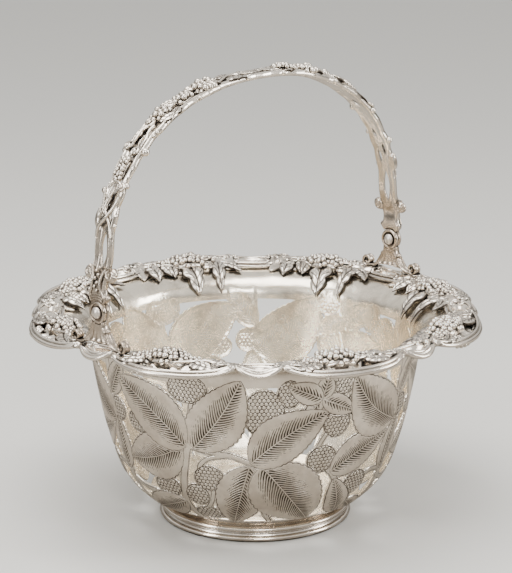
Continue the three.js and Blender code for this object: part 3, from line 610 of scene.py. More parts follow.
def leaf_layers():
    """A layer for each leaf, so that leaves that touch lie in different ones."""
    step_x, step_y = LAYER_GRID_STEPS
    angles = np.arange(-LAYER_GRID_ANGLE, LAYER_GRID_ANGLE + step_x / 10, step_x)
    heights = np.arange(-LAYER_GRID_MARGIN, BAND_LENGTH + LAYER_GRID_MARGIN, step_y)
    x, y = (a.ravel() for a in np.meshgrid(angles, heights))
    fields = []
    layers = []
    for row in LEAVES:
        own = np.max([leaf_field(x - shift, y, row)[0] for shift in SHIFTS], axis=0)
        touching = [layer for field, layer in zip(fields, layers) if np.any((own > -1) & (field > -1))]
        layers.append(min(max(touching, default=-1) + 1, len(LEAF_LEVELS) - 1))
        fields.append(own)
    return layers


LAYERS = leaf_layers()


WIDEST_DEGREE = 1.9
LEAF_MARGIN = 4
CLUSTER_MARGIN = 4
STEM_MARGIN = 5


def motifs():
    """Each motif of a repeat: its field, its row, its level, and the middle and reach of its area."""
    for row, layer in zip(LEAVES, LAYERS):
        base_angle, base_share, tip_angle, tip_share, half_width = row[:5]
        share = (base_share + tip_share) / 2
        span = math.hypot(math.radians(tip_angle - base_angle) * band_radius(share),
                          (tip_share - base_share) * BAND_LENGTH)
        reach = span / 2 + half_width + LEAF_MARGIN
        yield leaf_field, row, LEAF_LEVELS[layer], (base_angle + tip_angle) / 2, share, reach
    for row in CLUSTERS:
        angle, share, *halves = row
        yield cluster_field, row, "berry", angle, share, max(halves) + CLUSTER_MARGIN
    for row in STEMS:
        angles, shares = zip(*row[0])
        angle, share = (min(angles) + max(angles)) / 2, (min(shares) + max(shares)) / 2
        reach = max((max(angles) - min(angles)) / 2 * WIDEST_DEGREE,
                    (max(shares) - min(shares)) / 2 * BAND_LENGTH) + STEM_MARGIN
        yield stem_field, row, "stem", angle, share, reach


def near(x, y, angle, share, reach):
    """Corners within a reach of a place, to save work on the others."""
    radius = band_radius(min(max(share, 0.0), 1.0))
    return np.flatnonzero((np.abs(np.radians(x - angle)) * radius < reach)
                          & (np.abs(y - share * BAND_LENGTH) < reach))


def motif_marks(x, y):
    """The metal of the pattern at flat points, how far they are inside each kind of motif, and
    their place within the topmost one."""
    marks = {name: np.zeros(x.shape) for name in PLACE_NAMES}
    marks |= {level: np.full(x.shape, FAR_OUTSIDE) for level in LEVELS}
    metal = np.maximum(-y, y - BAND_LENGTH) + MOTIF_MARGIN
    taken = np.zeros(x.shape, bool)
    for field, row, level, angle, share, reach in motifs():
        for shift in SHIFTS:
            at = near(x, y, angle + shift, share, reach)
            inside, *place = field(x[at] - shift, y[at], row)
            metal[at] = np.maximum(metal[at], inside + MOTIF_MARGIN)
            marks[level][at] = np.maximum(marks[level][at], inside)
            fresh = (inside > -COORDINATE_MARGIN) & ~taken[at]
            for name, value in zip(PLACE_NAMES, place):
                marks[name][at[fresh]] = value[fresh]
            taken[at[fresh]] = True
    return metal, marks


LEAF_RISE = 0.32
BERRY_RISE = 0.38
STEM_RISE = 0.3


def berry_distance(x, y):
    """Distance to the middle of the nearest berry of a close-packed field."""
    best = np.full(np.shape(x), 1e9)
    for shift in (0.5, 1.0):
        px = (x + shift * BERRY_PITCH) % BERRY_PITCH - BERRY_PITCH / 2
        py = (y + shift * BERRY_ROWS) % BERRY_ROWS - BERRY_ROWS / 2
        best = np.minimum(best, np.hypot(px, py))
    return best


def motif_height(marks):
    """How far the pattern stands out of the sheet."""
    height = STEM_RISE * np.sqrt(np.clip(marks["stem"] / STEM_HALF_WIDTH, 0, 1))
    aside = berry_distance(marks["along"], marks["across"]) * 2 / BERRY_PITCH
    berry = smoothstep(0.0, 1.0, marks["berry"]) * (0.1 + BERRY_RISE * np.sqrt(np.clip(1 - aside ** 2, 0, 1)))
    height = np.where(marks["berry"] > 0, berry, height)
    for level in reversed(LEAF_LEVELS):
        height = np.where(marks[level] > 0, LEAF_RISE * smoothstep(0.0, 0.9, marks[level]), height)
    return height


# height, waves round, their phase, millimetres of wall for each radian, their phase
HAMMER_WAVES = [(0.10, 7, 0.9, 17.0, 0), (0.08, 13, 2.0, 9.0, 1), (0.05, 23, 0.0, 6.0, 2)]


def hammering(angle, length):
    """Slow unevenness of a raised sheet."""
    turn = np.radians(angle)
    return sum(height * np.sin(waves * turn + phase) * np.sin(length / pitch + shift)
               for height, waves, phase, pitch, shift in HAMMER_WAVES)


def keep_largest(corners, faces):
    """Drops islands of metal that nothing holds."""
    label = np.arange(len(corners))
    while True:
        lowest = label[faces].min(1)
        fresh = label.copy()
        for k in range(3):
            np.minimum.at(fresh, faces[:, k], lowest)
        fresh = fresh[fresh]
        if np.array_equal(fresh, label):
            break
        label = fresh
    names, counts = np.unique(label, return_counts=True)
    faces = faces[label[faces[:, 0]] == names[np.argmax(counts)]]
    used, flat = np.unique(faces, return_inverse=True)
    return corners[used], flat.reshape(-1, 3)


GRID_COLUMNS = 840
GRID_ROW = 0.8
PLAIN_ROW = 2.4
FOOT_LAP = 4.0
INNER_RELIEF = 0.8


def bowl_wall(material):
    """The raised wall with its openings and pattern, worked out for one repeat and laid round."""
    across = GRID_COLUMNS // REPEATS
    flat_x = -REPEAT_TURN / 2 + REPEAT_TURN * np.arange(across) / across
    lengths = np.unique(np.concatenate([
        np.arange(-FOOT_LAP, BAND_START - PLAIN_ROW / 2, PLAIN_ROW),
        np.arange(BAND_START - GRID_ROW * 2, BAND_START + BAND_LENGTH + GRID_ROW * 2, GRID_ROW),
        np.arange(BAND_START + BAND_LENGTH + PLAIN_ROW + 1, WALL_LENGTH + PLAIN_ROW, PLAIN_ROW),
    ]))
    grid_x, grid_y = np.meshgrid(flat_x, lengths - BAND_START, indexing="ij")
    metal = motif_marks(grid_x.ravel(), grid_y.ravel())[0]
    metal = np.tile(metal.reshape(grid_x.shape), (REPEATS, 1))
    angles = REPEAT_FRONT - REPEAT_TURN / 2 + 360.0 * np.arange(GRID_COLUMNS) / GRID_COLUMNS
    corners, faces = keep_largest(*cut_sheet(angles, lengths, metal, period=360.0))
    angle, length = corners.T
    local = (angle - REPEAT_FRONT + REPEAT_TURN / 2) % REPEAT_TURN - REPEAT_TURN / 2
    marks = motif_marks(local, length - BAND_START)[1]
    rise = motif_height(marks) + hammering(angle, length)
    shape = Shape()
    two_sided(shape, on_wall(angle, length, -rise), on_wall(angle, length, SHEET - rise * INNER_RELIEF),
              faces, **marks)
    shape.make("bowl_wall", "basket", ["bowl"], "bowl_sheet", material)


# depth, radius and width of the lines turned into the floor
FLOOR_LINES = [(0.25, 51.5, 0.7), (0.2, 1.5, 1.2)]
FLOOR_SKIN = 0.02


def bowl_floor(material):
    """The flat middle of the bowl, just outside the solid's faces."""
    radii = np.concatenate([np.linspace(0.02, 50, 24), np.linspace(50.5, 54.5, 9)])
    line = sum(depth * ridge(radii, radius, width) for depth, radius, width in FLOOR_LINES)
    top = np.stack([radii, BASE_Z + SHEET - line + FLOOR_SKIN], -1)
    bottom = np.stack([radii[::-1], np.full(len(radii), BASE_Z - FLOOR_SKIN)], -1)
    shape = Shape()
    lathe(shape, np.vstack([bottom, top]), sides=120)
    shape.make("bowl_floor", "basket", ["bowl"], "bowl_sheet", material)


# Foot

WIRE_HALF_WIDTH = 2.4


def foot_ring(material):
    low = WIRE_HIGH[2] - 0.1
    high = BASE_Z
    outer = FOOT_RADIUS
    outside = smooth_path([
        (BASE_RADIUS + 1.6, high), (BASE_RADIUS + 1.0, high - 0.8), (BASE_RADIUS + 1.4, high - 1.6),
        (BASE_RADIUS + 2.6, high - 2.4), (outer - 1.6, high - 2.9), (outer - 0.6, high - 3.4),
        (outer, high - 4.2), (outer, high - 5.0), (outer - 0.7, high - 5.7), (outer - 2.2, high - 6.1),
        (outer - 2.9, high - 6.8), (outer - 2.9, high - 7.6), (outer - 2.4, high - 8.2),
        (outer - 2.0, low)], 4)
    inside = [(outer - 5.0, low), (BASE_RADIUS - 2.0, high - 3.0), (BASE_RADIUS - 4.5, high - 1.6),
              (BASE_RADIUS - 4.5, high)]
    shape = Shape()
    lathe(shape, np.vstack([outside, inside])[::-1])
    shape.make("foot_mouldings", "basket", ["foot_ring"], "foot_silver", material)


def foot_wire(material):
    half_height = (WIRE_HIGH[2] - WIRE_LOW[2]) / 2
    turn = np.radians(np.arange(0, 360, 24))
    radius = WIRE_HIGH[0] - WIRE_HALF_WIDTH + WIRE_HALF_WIDTH * np.cos(turn)
    z = np.clip(half_height + half_height * np.sin(turn), 0.0, 2 * half_height)
    shape = Shape()
    lathe(shape, np.stack([radius, z], -1))
    shape.make("foot_round_wire", "basket", ["foot_wire"], "foot_silver", material)


# Cast rim

LOBES = 8
LOBE_TURN = 360.0 / LOBES
CHART_RADIUS = 138.0
LOBE_HALF = 40.3
LOBE_REACH = 24.0
NOTCH_REACH = 15.5
SCROLL_REACH = 19.0
SCROLL_HALF = 14.0
SEAT_GAP = 0.35
LIP_LIFT = 4.2
LIP_DROOP = 1.2
LOBE_LIP_POWER = 3.6
SCROLL_LIP_POWER = 2.0
LIP_START = 8.5
LIP_END = 16.0


def rim_chart(centre, half, droop, power):
    """Chart of a rim casting: x round the rim from a centre angle, w outward from the mouth and h
    above the sheet. The outer lip swings up to the casting's ends and droops between them."""
    def place(x, w, h):
        reach = np.clip(np.abs(x / half), 0, 1)
        swing = LIP_LIFT * reach ** power - droop * (1 - reach ** 2)
        lift = swing * smoothstep(LIP_START, LIP_END, w)
        return on_wall(centre + np.degrees(x / CHART_RADIUS), WALL_LENGTH + w, SHEET + SEAT_GAP + (h + lift))
    return place


def lobe_edge(x):
    """Outer edge of a lobe."""
    share = np.clip(np.abs(x) / LOBE_HALF, 0, 1)
    return NOTCH_REACH + (LOBE_REACH - NOTCH_REACH) * (1 - share ** 2) ** 0.8


def lobe_plate(shape, place):
    """The body of a lobe: a wavy inner edge, a hump along it, a lip and slanting ribs."""
    x = np.linspace(-LOBE_HALF, LOBE_HALF, 91)[:, None]
    inner = -3.5 - 1.6 * np.sin(x * 0.33 + 1.0) - 1.2 * np.sin(x * 0.21)
    edge = lobe_edge(x)
    w = inner + (edge - inner) * np.linspace(0, 1, 25)[None, :]
    ribs = 0.7 * np.sin(x * 0.75 + 0.5 * w + 2 * np.sin(x * 0.11)) * smoothstep(-3, 4, w)
    top = 1.3 + 4.2 * ridge(w, 6.5, 5.5) + 1.4 * ridge(w, edge - 2.0, 1.8) + ribs
    plate(shape, place, x, w, top, np.where(w < 1.0, 0.0, np.clip(top - 2.4, 0.0, 1.2)))


# distance in from the edge, height and share of the full radius of the two bars of the lip
LIP_BARS = [(2.4, 1.2, 0.6), (0.9, -0.7, 0.72)]


def lobe_lip(shape, place):
    """The rolled outer lip with its volutes, and a rail inside it."""
    x = np.linspace(-LOBE_HALF + 2.5, LOBE_HALF - 2.5, 33)
    middle = 1 - (x / LOBE_HALF) ** 2
    for inward, rise, share in LIP_BARS:
        places = place(x, lobe_edge(x) - inward, 1.5 + 0.9 * middle + rise)
        tube(shape, places, share * (1.65 + 0.55 * middle), 10)
    for hand in (-1, 1):
        curl = volute(hand * (LOBE_HALF - 4.2), NOTCH_REACH - 3.6, 2.6, 3.4, 1.35, 90, -hand)
        tapered(shape, place, curl, 1.25, 0.9)
    x = np.linspace(6, 36, 14)
    rail = np.stack([x, lobe_edge(x) - 5.0, 2.6 + 0.6 * np.sin(x * 0.2)], -1)
    tapered(shape, place, rail, 0.55, 1.15)


# places x, w, h along each strand of the vine, radii
LOBE_STRANDS = [
    ([(38, 5, 3.5), (31, 9, 5.2), (22, 6.5, 6.2), (12, 10.5, 6.4), (2, 13, 6.4)], [0.8, 1.0, 0.9]),
    ([(-37, 6, 3.5), (-32, 9.5, 4.8), (-25, 8, 5.8), (-19, 4.5, 6.0), (-13, 2, 6.2)], [0.8, 1.1, 0.9]),
    ([(8, -1, 4.5), (13, 0.5, 5.6), (18, 2.5, 5.2), (24, 1.0, 5.0), (28, -1.5, 3.6), (26, -4, 2.8),
      (23.5, -2.5, 2.8)], [0.9, 0.75, 0.55]),
    ([(-30, 3, 4.4), (-35, 0.5, 4.0), (-38.5, 3.0, 3.4), (-36.5, 5.5, 3.4), (-34.5, 4, 3.8)], [0.8, 0.5]),
]
# x, w, h, radius
LOBE_BUDS = [
    (-12, 22.3, 0.2, 1.5), (-15.8, 22.0, 0.1, 1.6), (-19.6, 21.3, 0.0, 1.5), (35.5, 9.5, 4.4, 2.0),
    (-34.5, 10.5, 4.4, 1.8), (-23, 20.3, 0.0, 1.3), (-24, 1.5, 5.8, 1.4), (-31, 13.2, 3.4, 1.2),
]
# x, w, half length, half width, dome, height, berry radius
LOBE_HEAPS = [
    (-3.5, 4.5, 15.0, 9.5, 4.6, 4.8, 1.95),
    (-20.5, 8.0, 7.0, 5.2, 2.0, 4.4, 1.7),
    (14.5, 6.0, 6.5, 4.8, 1.8, 4.4, 1.7),
]
# x, w, heading, length, width, lobes, height at base, middle and tip, arch, curl, bend
LOBE_LEAVES = [
    (-2, 0, -97, 24, 19, 3, (4.6, 3.6, 1.7), 1.4, 0.7, -1.0),
    (-28, 3, -86, 26, 12, 4, (4.6, 3.2, 1.4), 1.2, 0.6, 1.0),
    (-30, 1, -150, 18, 9, 4, (4.2, 3.4, 2.0), 1.0, 0.6, -2.0),
    (9, 1, -72, 11, 10, 2, (4.2, 4.8, 1.6), 1.8, 1.2, 0.8),
    (17, 2, -105, 10, 9, 2, (4.4, 4.6, 1.6), 1.8, 1.2, -0.6),
    (27, 3, -84, 14, 13, 2, (4.2, 4.6, 1.4), 1.8, 1.0, -1.0),
    (33, 6, -28, 12, 8, 2, (4.4, 4.0, 2.4), 1.4, 0.8, 1.0),
    (13, 10, 18, 19, 10, 4, (5.8, 5.8, 2.8), 1.4, 0.9, 1.2),
    (-17, 12, 162, 18, 10, 4, (5.8, 5.6, 2.8), 1.4, 0.9, -1.0),
    (25, 4, 52, 13, 8, 3, (5.4, 5.2, 2.4), 1.4, 0.8, -0.6),
]
# x, w, size, height, start of the spiral, hand
LOBE_CURLED_LEAVES = [
    (-18.5, -1.5, 5.0, 2.6, 200, -1),
    (31.0, 10.5, 5.0, 3.6, 20, 1),
    (-29.5, 10.5, 4.2, 3.2, 160, -1),
]


def lobe_leaves(shape, place):
    for row in LOBE_LEAVES:
        leaf(shape, place, *row)
    for row in LOBE_CURLED_LEAVES:
        curled_leaf(shape, place, *row)
    for x, heading, length in ((-25, 112, 6), (-20.5, 98, 7), (-16, 84, 7), (-12, 70, 7)):
        leaf(shape, place, x, 15.0, heading, length, 4.4, 2, (3.6, 4.4, 1.0), 0.9, low=-1.2)
    for heading, length in ((62, 9), (92, 10), (122, 9)):
        leaf(shape, place, 33, 8, heading, length, 4.6, 2, (3.2, 4.4, 1.6), 0.8)


def rim_lobe(number, material):
    """A lobe of the rim as three pieces: casting, berries and leaves."""
    node = f"rim_lobe_{number}"
    place = rim_chart(LOBE_TURN * (number - 0.5), LOBE_HALF, LIP_DROOP, LOBE_LIP_POWER)
    casting, berries, leaves = Shape(), Shape(), Shape()
    lobe_plate(casting, place)
    lobe_lip(casting, place)
    for points, radii in LOBE_STRANDS:
        strand(casting, place, points, radii)
    knobs(casting, place, LOBE_BUDS)
    for i, row in enumerate(LOBE_HEAPS):
        heap(berries, place, *row, number + 20 * i)
    lobe_leaves(leaves, place)
    for part, shape in (("casting", casting), ("berries", berries), ("leaves", leaves)):
        shape.make(f"{node}_{part}", "basket", [node], "rim_silver", material)


OVAL_W = 8.0
OVAL_HALF_X = 10.5
OVAL_HALF_W = 5.2
# shortening, place at the middle, its change to the ends and power, height, its rise to the ends,
# radius and sides of the lip, of the rail inside it and of the bar at the back
SCROLL_BARS = [
    (0.4, SCROLL_REACH - 1.0, -4.6, 2.6, 0.7, 1.1, 1.3, 10),
    (1.0, SCROLL_REACH - 3.8, -4.0, 2.4, 3.3, 0.0, 0.9, 8),
    (3.0, 1.2, 0.8, 2, 3.2, 0.0, 1.0, 8),
]
# place, size and side of the volutes at each end
SCROLL_VOLUTES = [(11.0, 3.0, 1), (3.6, 2.6, -1)]


def cartouche(number, material):
    """A plain oval between two C-scrolls."""
    place = rim_chart(LOBE_TURN * (number - 1), SCROLL_HALF, 0.0, SCROLL_LIP_POWER)
    shape = Shape()
    x = np.linspace(-SCROLL_HALF, SCROLL_HALF, 57)[:, None]
    aside = np.abs(x / SCROLL_HALF)
    inner = -1.5 + 1.5 * aside ** 2
    outer = SCROLL_REACH - 1.2 - 3.2 * aside ** 3
    w = inner + (outer - inner) * np.linspace(0, 1, 33)[None, :]
    oval = np.hypot(x / OVAL_HALF_X, (w - OVAL_W) / OVAL_HALF_W)
    top = 2.4 - 1.7 * smoothstep(1.0, 0.72, oval) + 1.0 * ridge(oval, 1.12, 0.1)
    top = top + (1.2 * ridge(w, 15.2, 1.3) - 1.5 * smoothstep(15.8, 17.6, w)) * smoothstep(1.0, 0.6, aside)
    plate(shape, place, x, w, top, np.where(w < 1.0, 0.0, np.clip(top - 2.4, 0.0, 1.0)))
    t = np.linspace(-1, 1, 29)
    for short, w_middle, bow, power, height, rise, radius, sides in SCROLL_BARS:
        path = place(t * (SCROLL_HALF - short), w_middle + bow * np.abs(t) ** power, height + rise * t * t)
        tube(shape, path, radius + 0.25 * (1 - t * t), sides)
    for hand in (-1, 1):
        end = hand * (SCROLL_HALF - 2.2)
        for w_end, size, side in SCROLL_VOLUTES:
            tapered(shape, place, volute(end, w_end, 2.6, size, 1.3, 90 * side, -hand * side), 1.05, 0.75)
        knobs(shape, place, [(end, w_end, 3.9, 1.2) for w_end, _, _ in SCROLL_VOLUTES])
    shape.make(f"rim_scroll_{number}_cartouche", "basket", [f"rim_scroll_{number}"], "rim_silver", material)


# Handle

ARCH_HALF_WIDTH = 131.0
ARCH_INSET = 4.6
LEG_EASE = 19.5
LEG_EASE_START = 8.0
ARCH_SPRING = 27.5
ARCH_RISE = 102.0
ARCH_SQUARENESS = 2.2
ARM_SPLICE_ANGLE = 52.0


def arch_line(angle):
    """Middle line (x, z) of the right half of the arch, from the pivot to the top."""
    turn = np.radians(angle)
    power = 2 / ARCH_SQUARENESS
    up = angle > 0
    across = np.where(up, np.clip(np.cos(turn), 0, 1) ** power, 1.0)
    rise = np.where(up, np.clip(np.sin(turn), 0, 1) ** power, turn)
    z = PIVOT_Z + ARCH_SPRING + ARCH_RISE * rise
    ease = smoothstep(0, 1, (PIVOT_Z + ARCH_SPRING + LEG_EASE_START - z) / LEG_EASE)
    return np.stack([ARCH_HALF_WIDTH * across + ARCH_INSET * ease, z], -1)


ARCH_ANGLE = np.linspace(-math.degrees(ARCH_SPRING / ARCH_RISE), 90, 1500)
ARCH = arch_line(ARCH_ANGLE)
ARCH_LENGTH = line_lengths(ARCH)
ARCH_AHEAD = np.gradient(ARCH, ARCH_LENGTH, axis=0)
ARCH_TOP = ARCH_LENGTH[-1]
SPLICE = float(np.interp(ARM_SPLICE_ANGLE, ARCH_ANGLE, ARCH_LENGTH))


def from_pivot(s):
    """Length to the nearer pivot."""
    return np.where(s > ARCH_TOP, 2 * ARCH_TOP - s, s)


def on_arch(s, v, h):
    """A place on the handle: s along it from the right pivot, v across (+Y), h outward."""
    s, v, h = np.broadcast_arrays(s, v, h)
    x, z, ahead_x, ahead_z = (np.interp(from_pivot(s), ARCH_LENGTH, column)
                              for column in [*ARCH.T, *ARCH_AHEAD.T])
    size = np.hypot(ahead_x, ahead_z)
    x, z = x + ahead_z / size * h, z - ahead_x / size * h
    return np.stack([np.where(s > ARCH_TOP, -x, x), v, z], -1)


def arm_chart(hand):
    """Chart of one half of the handle from its own pivot; the left half is the right one turned round."""
    return on_arch if hand > 0 else lambda s, v, h: on_arch(2 * ARCH_TOP - s, -v, h)


# middle, side, half length and half width of the pointed openings
SLOTS = [(39.0, 0.0, 11.5, 2.7), (61.0, 2.6, 5.5, 1.5), (67.0, -2.4, 5.0, 1.4), (80.0, 1.2, 4.0, 1.7),
         (111.0, 0.8, 6.0, 2.4)]
WIDTH_AT = [0, 6, 8, 10, 12.5, 15, 19, 23, 27, 34, 42, 50, 55, 60, 66, 71, 75, 80, 86, 92, 98, 104, 110, 116,
            122, 128, 136, 144, 152, 160, 168, 176, 184, 192, 200, 208, 215.2]
HALF_WIDTHS = [5.4, 5.4, 7.2, 7.5, 6.2, 5.8, 6.5, 7.8, 7.0, 7.0, 7.1, 6.4, 7.1, 7.4, 6.6, 7.7, 7.6, 6.3, 7.0,
               7.6, 7.0, 7.8, 7.3, 6.8, 8.0, 7.6, 7.2, 7.6, 7.0, 7.6, 7.9, 7.4, 6.9, 7.2, 7.0, 7.3, 7.0]
HANDLE_STEP = 0.8
HANDLE_HALF_GRID = 8.8


def band(shape, place, from_s, to_s, pivot_cut=0.0):
    """The flat body of the handle with its rails, openings and hollow inner face, cut off round the
    right pivot."""
    s_line = np.arange(from_s, to_s + 0.01, (to_s - from_s) / round((to_s - from_s) / HANDLE_STEP))
    v_line = np.linspace(-HANDLE_HALF_GRID, HANDLE_HALF_GRID, 37)
    s, v = np.meshgrid(s_line, v_line, indexing="ij")
    reach = from_pivot(s)
    metal = np.interp(reach, WIDTH_AT, HALF_WIDTHS) - np.abs(v)
    for middle, side, half_length, half_width in SLOTS:
        share = np.clip(np.abs(reach - middle) / half_length, 0, 2)
        aside = np.abs(np.where(s > ARCH_TOP, -v, v) - side)
        metal = np.minimum(metal, aside - half_width * (1 - share ** 2))
    metal = np.minimum(metal, np.hypot(s, v) - pivot_cut)
    corners, faces = cut_sheet(s_line, v_line, metal)
    s, v = corners.T
    reach = from_pivot(s)
    inset = np.interp(reach, WIDTH_AT, HALF_WIDTHS) - np.abs(v)
    past_neck = smoothstep(16, 26, reach)
    thick = 1.5 + 0.9 * smoothstep(24, 12, reach)
    rail = 1.3 * ridge(inset, 1.2, 0.85) * past_neck
    groove = 0.7 * smoothstep(1.8, 3.5, inset) * past_neck
    edge = 0.5 * smoothstep(0.7, 0.0, inset)
    reeds = 0.3 * np.cos(v * 2.6) * smoothstep(180, 195, reach)
    top = place(s, v, thick + rail - groove - edge + reeds)
    bottom = place(s, v, -thick + 0.55 * smoothstep(0.8, 4.5, inset) * smoothstep(10, 22, reach) + edge)
    a, b, c = faces[len(faces) // 2]
    facing = np.cross(top[b] - top[a], top[c] - top[a]) @ (top[a] - bottom[a])
    two_sided(shape, top, bottom, faces[:, ::-1] if facing < 0 else faces)


EAR_S = 24.0
EAR_SIDE = 9.4
EAR_BULGE = 2.3


def ear_volute(shape, place, side, radius):
    """A scrolled ear beside the neck: a thick round with a spiral on each face."""
    t = np.linspace(0, 1, 34)
    turn = math.pi * (0.5 + 2.9 * t)
    reach = (radius - 1.1) * (1 - t) ** 0.8 + 0.2
    for height in (1.5, -1.5):
        path = place(EAR_S + reach * np.sin(turn), side * (EAR_SIDE + reach * np.cos(turn)), height)
        tube(shape, path, np.linspace(1.25, 0.9, len(t)))
    around = np.linspace(0, 2 * math.pi, 25)[:, None]
    share = np.array([0.02, 0.4, 0.75, 0.95, 1.0])[None, :]
    bulge = EAR_BULGE * np.sqrt(np.clip(1 - share ** 2 * 0.9, 0, 1))
    plate(shape, place, EAR_S + radius * share * np.sin(around),
          side * (EAR_SIDE + radius * share * np.cos(around)), bulge, -bulge)


# side and radius
EARS = [(-1, 4.2), (1, 4.5)]
# radius and half turn about the pivot
NECK_ARCS = [(8.7, 36), (10.3, 35), (11.9, 28)]
# s, v, size, start, hand
ARM_VOLUTES = [(101, 3.2, 2.9, 200, 1), (104, -5.6, 2.4, 20, -1), (124, -3.6, 3.6, 180, -1),
               (77, 6.4, 2.0, 0, 1)]
# places s, v, h along a strand, radii
ARM_STRANDS = [
    ([(10, 6, 2.2), (15, 3.6, 2.6), (21, 3.2, 2.6), (28, 6.4, 2.6)], [0.8, 1.0, 0.8]),
    ([(10, -6.5, 2.2), (15, -4.4, 2.6), (22, -3.6, 2.6), (28, -6.4, 2.6)], [0.8, 1.0, 0.8]),
    ([(45, -5.8, 2.4), (52, -4.6, 3.0), (58, 0.5, 3.2), (65, 5.2, 2.8), (72, 6.8, 2.4)], [0.9, 1.2, 1.0]),
    ([(47, 6.2, 2.2), (54, 4.0, 2.4), (60, -0.8, 2.2), (67, -4.8, 2.4), (75, -6.6, 2.4)], [0.9, 1.1, 0.9]),
    ([(56, -6.8, 2.4), (62, -3.4, 2.8), (69, -0.8, 2.8), (77, 1.0, 2.6)], [0.8, 1.0, 0.6]),
    ([(75, 7.0, 2.4), (79, 4.4, 3.2), (80, 0.2, 3.2), (77, -3.6, 2.6)], [1.2, 0.9, 0.7]),
    ([(105, 4.5, 2.4), (111, 4.6, 3.0), (117, 2.4, 3.2), (122, 2.6, 3.0)], [0.7, 0.9, 0.9]),
    ([(104, -4.0, 2.4), (110, -3.2, 3.0), (116, -3.6, 3.2), (121, -1.6, 3.0)], [0.7, 0.9, 0.9]),
]
CROWN_STRANDS = [
    ([(176, 5.4, 3), (184, 2.4, 3.4), (192, -1.4, 3.0), (201, -1.8, 2.6), (209, 1.4, 2.2)], [0.7, 1.0, 0.7]),
]
# s, v, half length, half width, dome, height, berry radius; the last of the crown is at the top
ARM_HEAPS = [(89, -0.8, 8.0, 4.0, 1.0, 2.2, 1.45)]
CROWN_HEAPS = [
    (133, -2.2, 7.0, 4.4, 1.8, 2.4, 1.9),
    (152, -1.0, 7.0, 5.6, 1.6, 2.4, 1.9),
    (170, -0.6, 9.5, 6.8, 2.6, 2.6, 2.0),
    (188, 0.0, 11.0, 6.4, 2.0, 2.8, 1.75),
]
# s, v, heading, length, width, lobes, height at base, middle and tip, arch, curl
ARM_LEAVES = [
    (58, -5, 18, 17, 5.5, 3, (2.4, 3.2, 2.2), 0.6),
    (108, -5.5, 8, 16, 5.0, 3, (2.2, 3.2, 2.6), 0.6),
]
CROWN_LEAVES = [
    (137, -6.4, 30, 13, 6, 3, (3.2, 5.0, 3.4), 1.2, 0.8),
    (158, -5.6, 24, 14, 7, 3, (3.2, 5.2, 3.4), 1.2, 0.8),
    (179, 4.8, 196, 14, 7, 3, (3.4, 5.4, 4.6), 1.2, 0.8),
    (126, 4.5, 12, 14, 7, 3, (2.4, 3.4, 2.0), 0.9),
    (142, 5.5, 158, 13, 6, 3, (2.8, 3.2, 2.0), 0.9),
    (160, 5.0, -30, 12, 6, 3, (3.0, 4.0, 3.0), 0.9),
    (186, 4.6, 8, 17, 7, 3, (2.6, 3.4, 1.8), 0.9),
    (184, -3.6, -10, 15, 6, 3, (2.6, 3.2, 1.8), 0.9),
    (206, -3.2, 172, 9, 6, 2, (2.6, 2.8, 1.8), 0.9),
    (207, 2.0, -4, 12, 6, 3, (2.4, 3.0, 1.6), 0.9),
]
# s, v, h, radius
ARM_KNOBS = [
    *((14 + 2.2 * i, (-1) ** i * 1.1 - 0.6, 2.7, 1.15) for i in range(7)),
    (74, -8.4, 0.8, 2.3), (79, 8.2, 0.8, 1.9), (103, 8.8, 0.8, 2.7), (102, -8.2, 0.6, 2.1),
    (9.6, 7.6, 0.0, 1.9), (115, 6.8, 1.5, 1.5), (118.5, 7.0, 1.5, 1.4), (62, -7.6, 0.8, 1.6),
    (54, 7.2, 0.8, 1.5),
]
CROWN_KNOBS = [(201.5, 7.0, 1.0, 1.8), (204, 6.0, 1.6, 1.2), (146, -7.6, 0.8, 1.6), (158, 7.6, 0.8, 1.4),
               (196, -6.8, 0.8, 1.6)]
TRIM_LOW = 0.6


def handle_trim(shape, place, strands, heaps, leaves, rows, seed):
    """Strands, berries, leaves and knobs on the outside of the handle."""
    for points, radii in strands:
        strand(shape, place, points, radii)
    for i, row in enumerate(heaps):
        heap(shape, place, *row, seed + i, floor=TRIM_LOW)
    for row in leaves:
        leaf(shape, place, *row, low=TRIM_LOW)
    knobs(shape, place, rows)


def arm_scrolls(shape, place):
    """Ears, arcs round the hinge, volutes and a boss on an arm."""
    for side, radius in EARS:
        ear_volute(shape, place, side, radius)
    for radius, half_turn in NECK_ARCS:
        turn = np.radians(np.linspace(-half_turn, half_turn, 13))
        tube(shape, place(radius * np.cos(turn), radius * np.sin(turn), 2.35), 0.62)
    for s, v, size, start, hand in ARM_VOLUTES:
        tapered(shape, place, volute(s, v, 2.6, size, 1.4, start, hand), 1.1, 0.8)
        knobs(shape, place, [(s, v, 3.8, 1.2)])
    boss(shape, place, 57.0, -7.0, 6.0, 2.6, 1.6, 1.6, -1.6)


ARM_START = 3.2


def handle_arm(side_name, hand, material):
    """One arm with the outer half of its lap hinge."""
    place = arm_chart(hand)
    node = f"handle_arm_{side_name}"
    body, trim = Shape(), Shape()
    band(body, place, ARM_START, SPLICE, DISC_RADIUS + NECK_GAP)
    plate(body, place, TONGUE_REACH[None, :], TONGUE_ASIDE[:, None], TONGUE_THICK, HINGE_GAP / 2)
    hinge_disc(body, hand, HINGE_X + HINGE_GAP / 2, HINGE_X + HALF_THICK)
    body.make(f"{node}_band", "handle", [node], "handle_silver", material)
    arm_scrolls(trim, place)
    handle_trim(trim, place, ARM_STRANDS, ARM_HEAPS, ARM_LEAVES, ARM_KNOBS, 60 + hand)
    trim.make(f"{node}_trim", "handle", [node], "handle_silver", material)


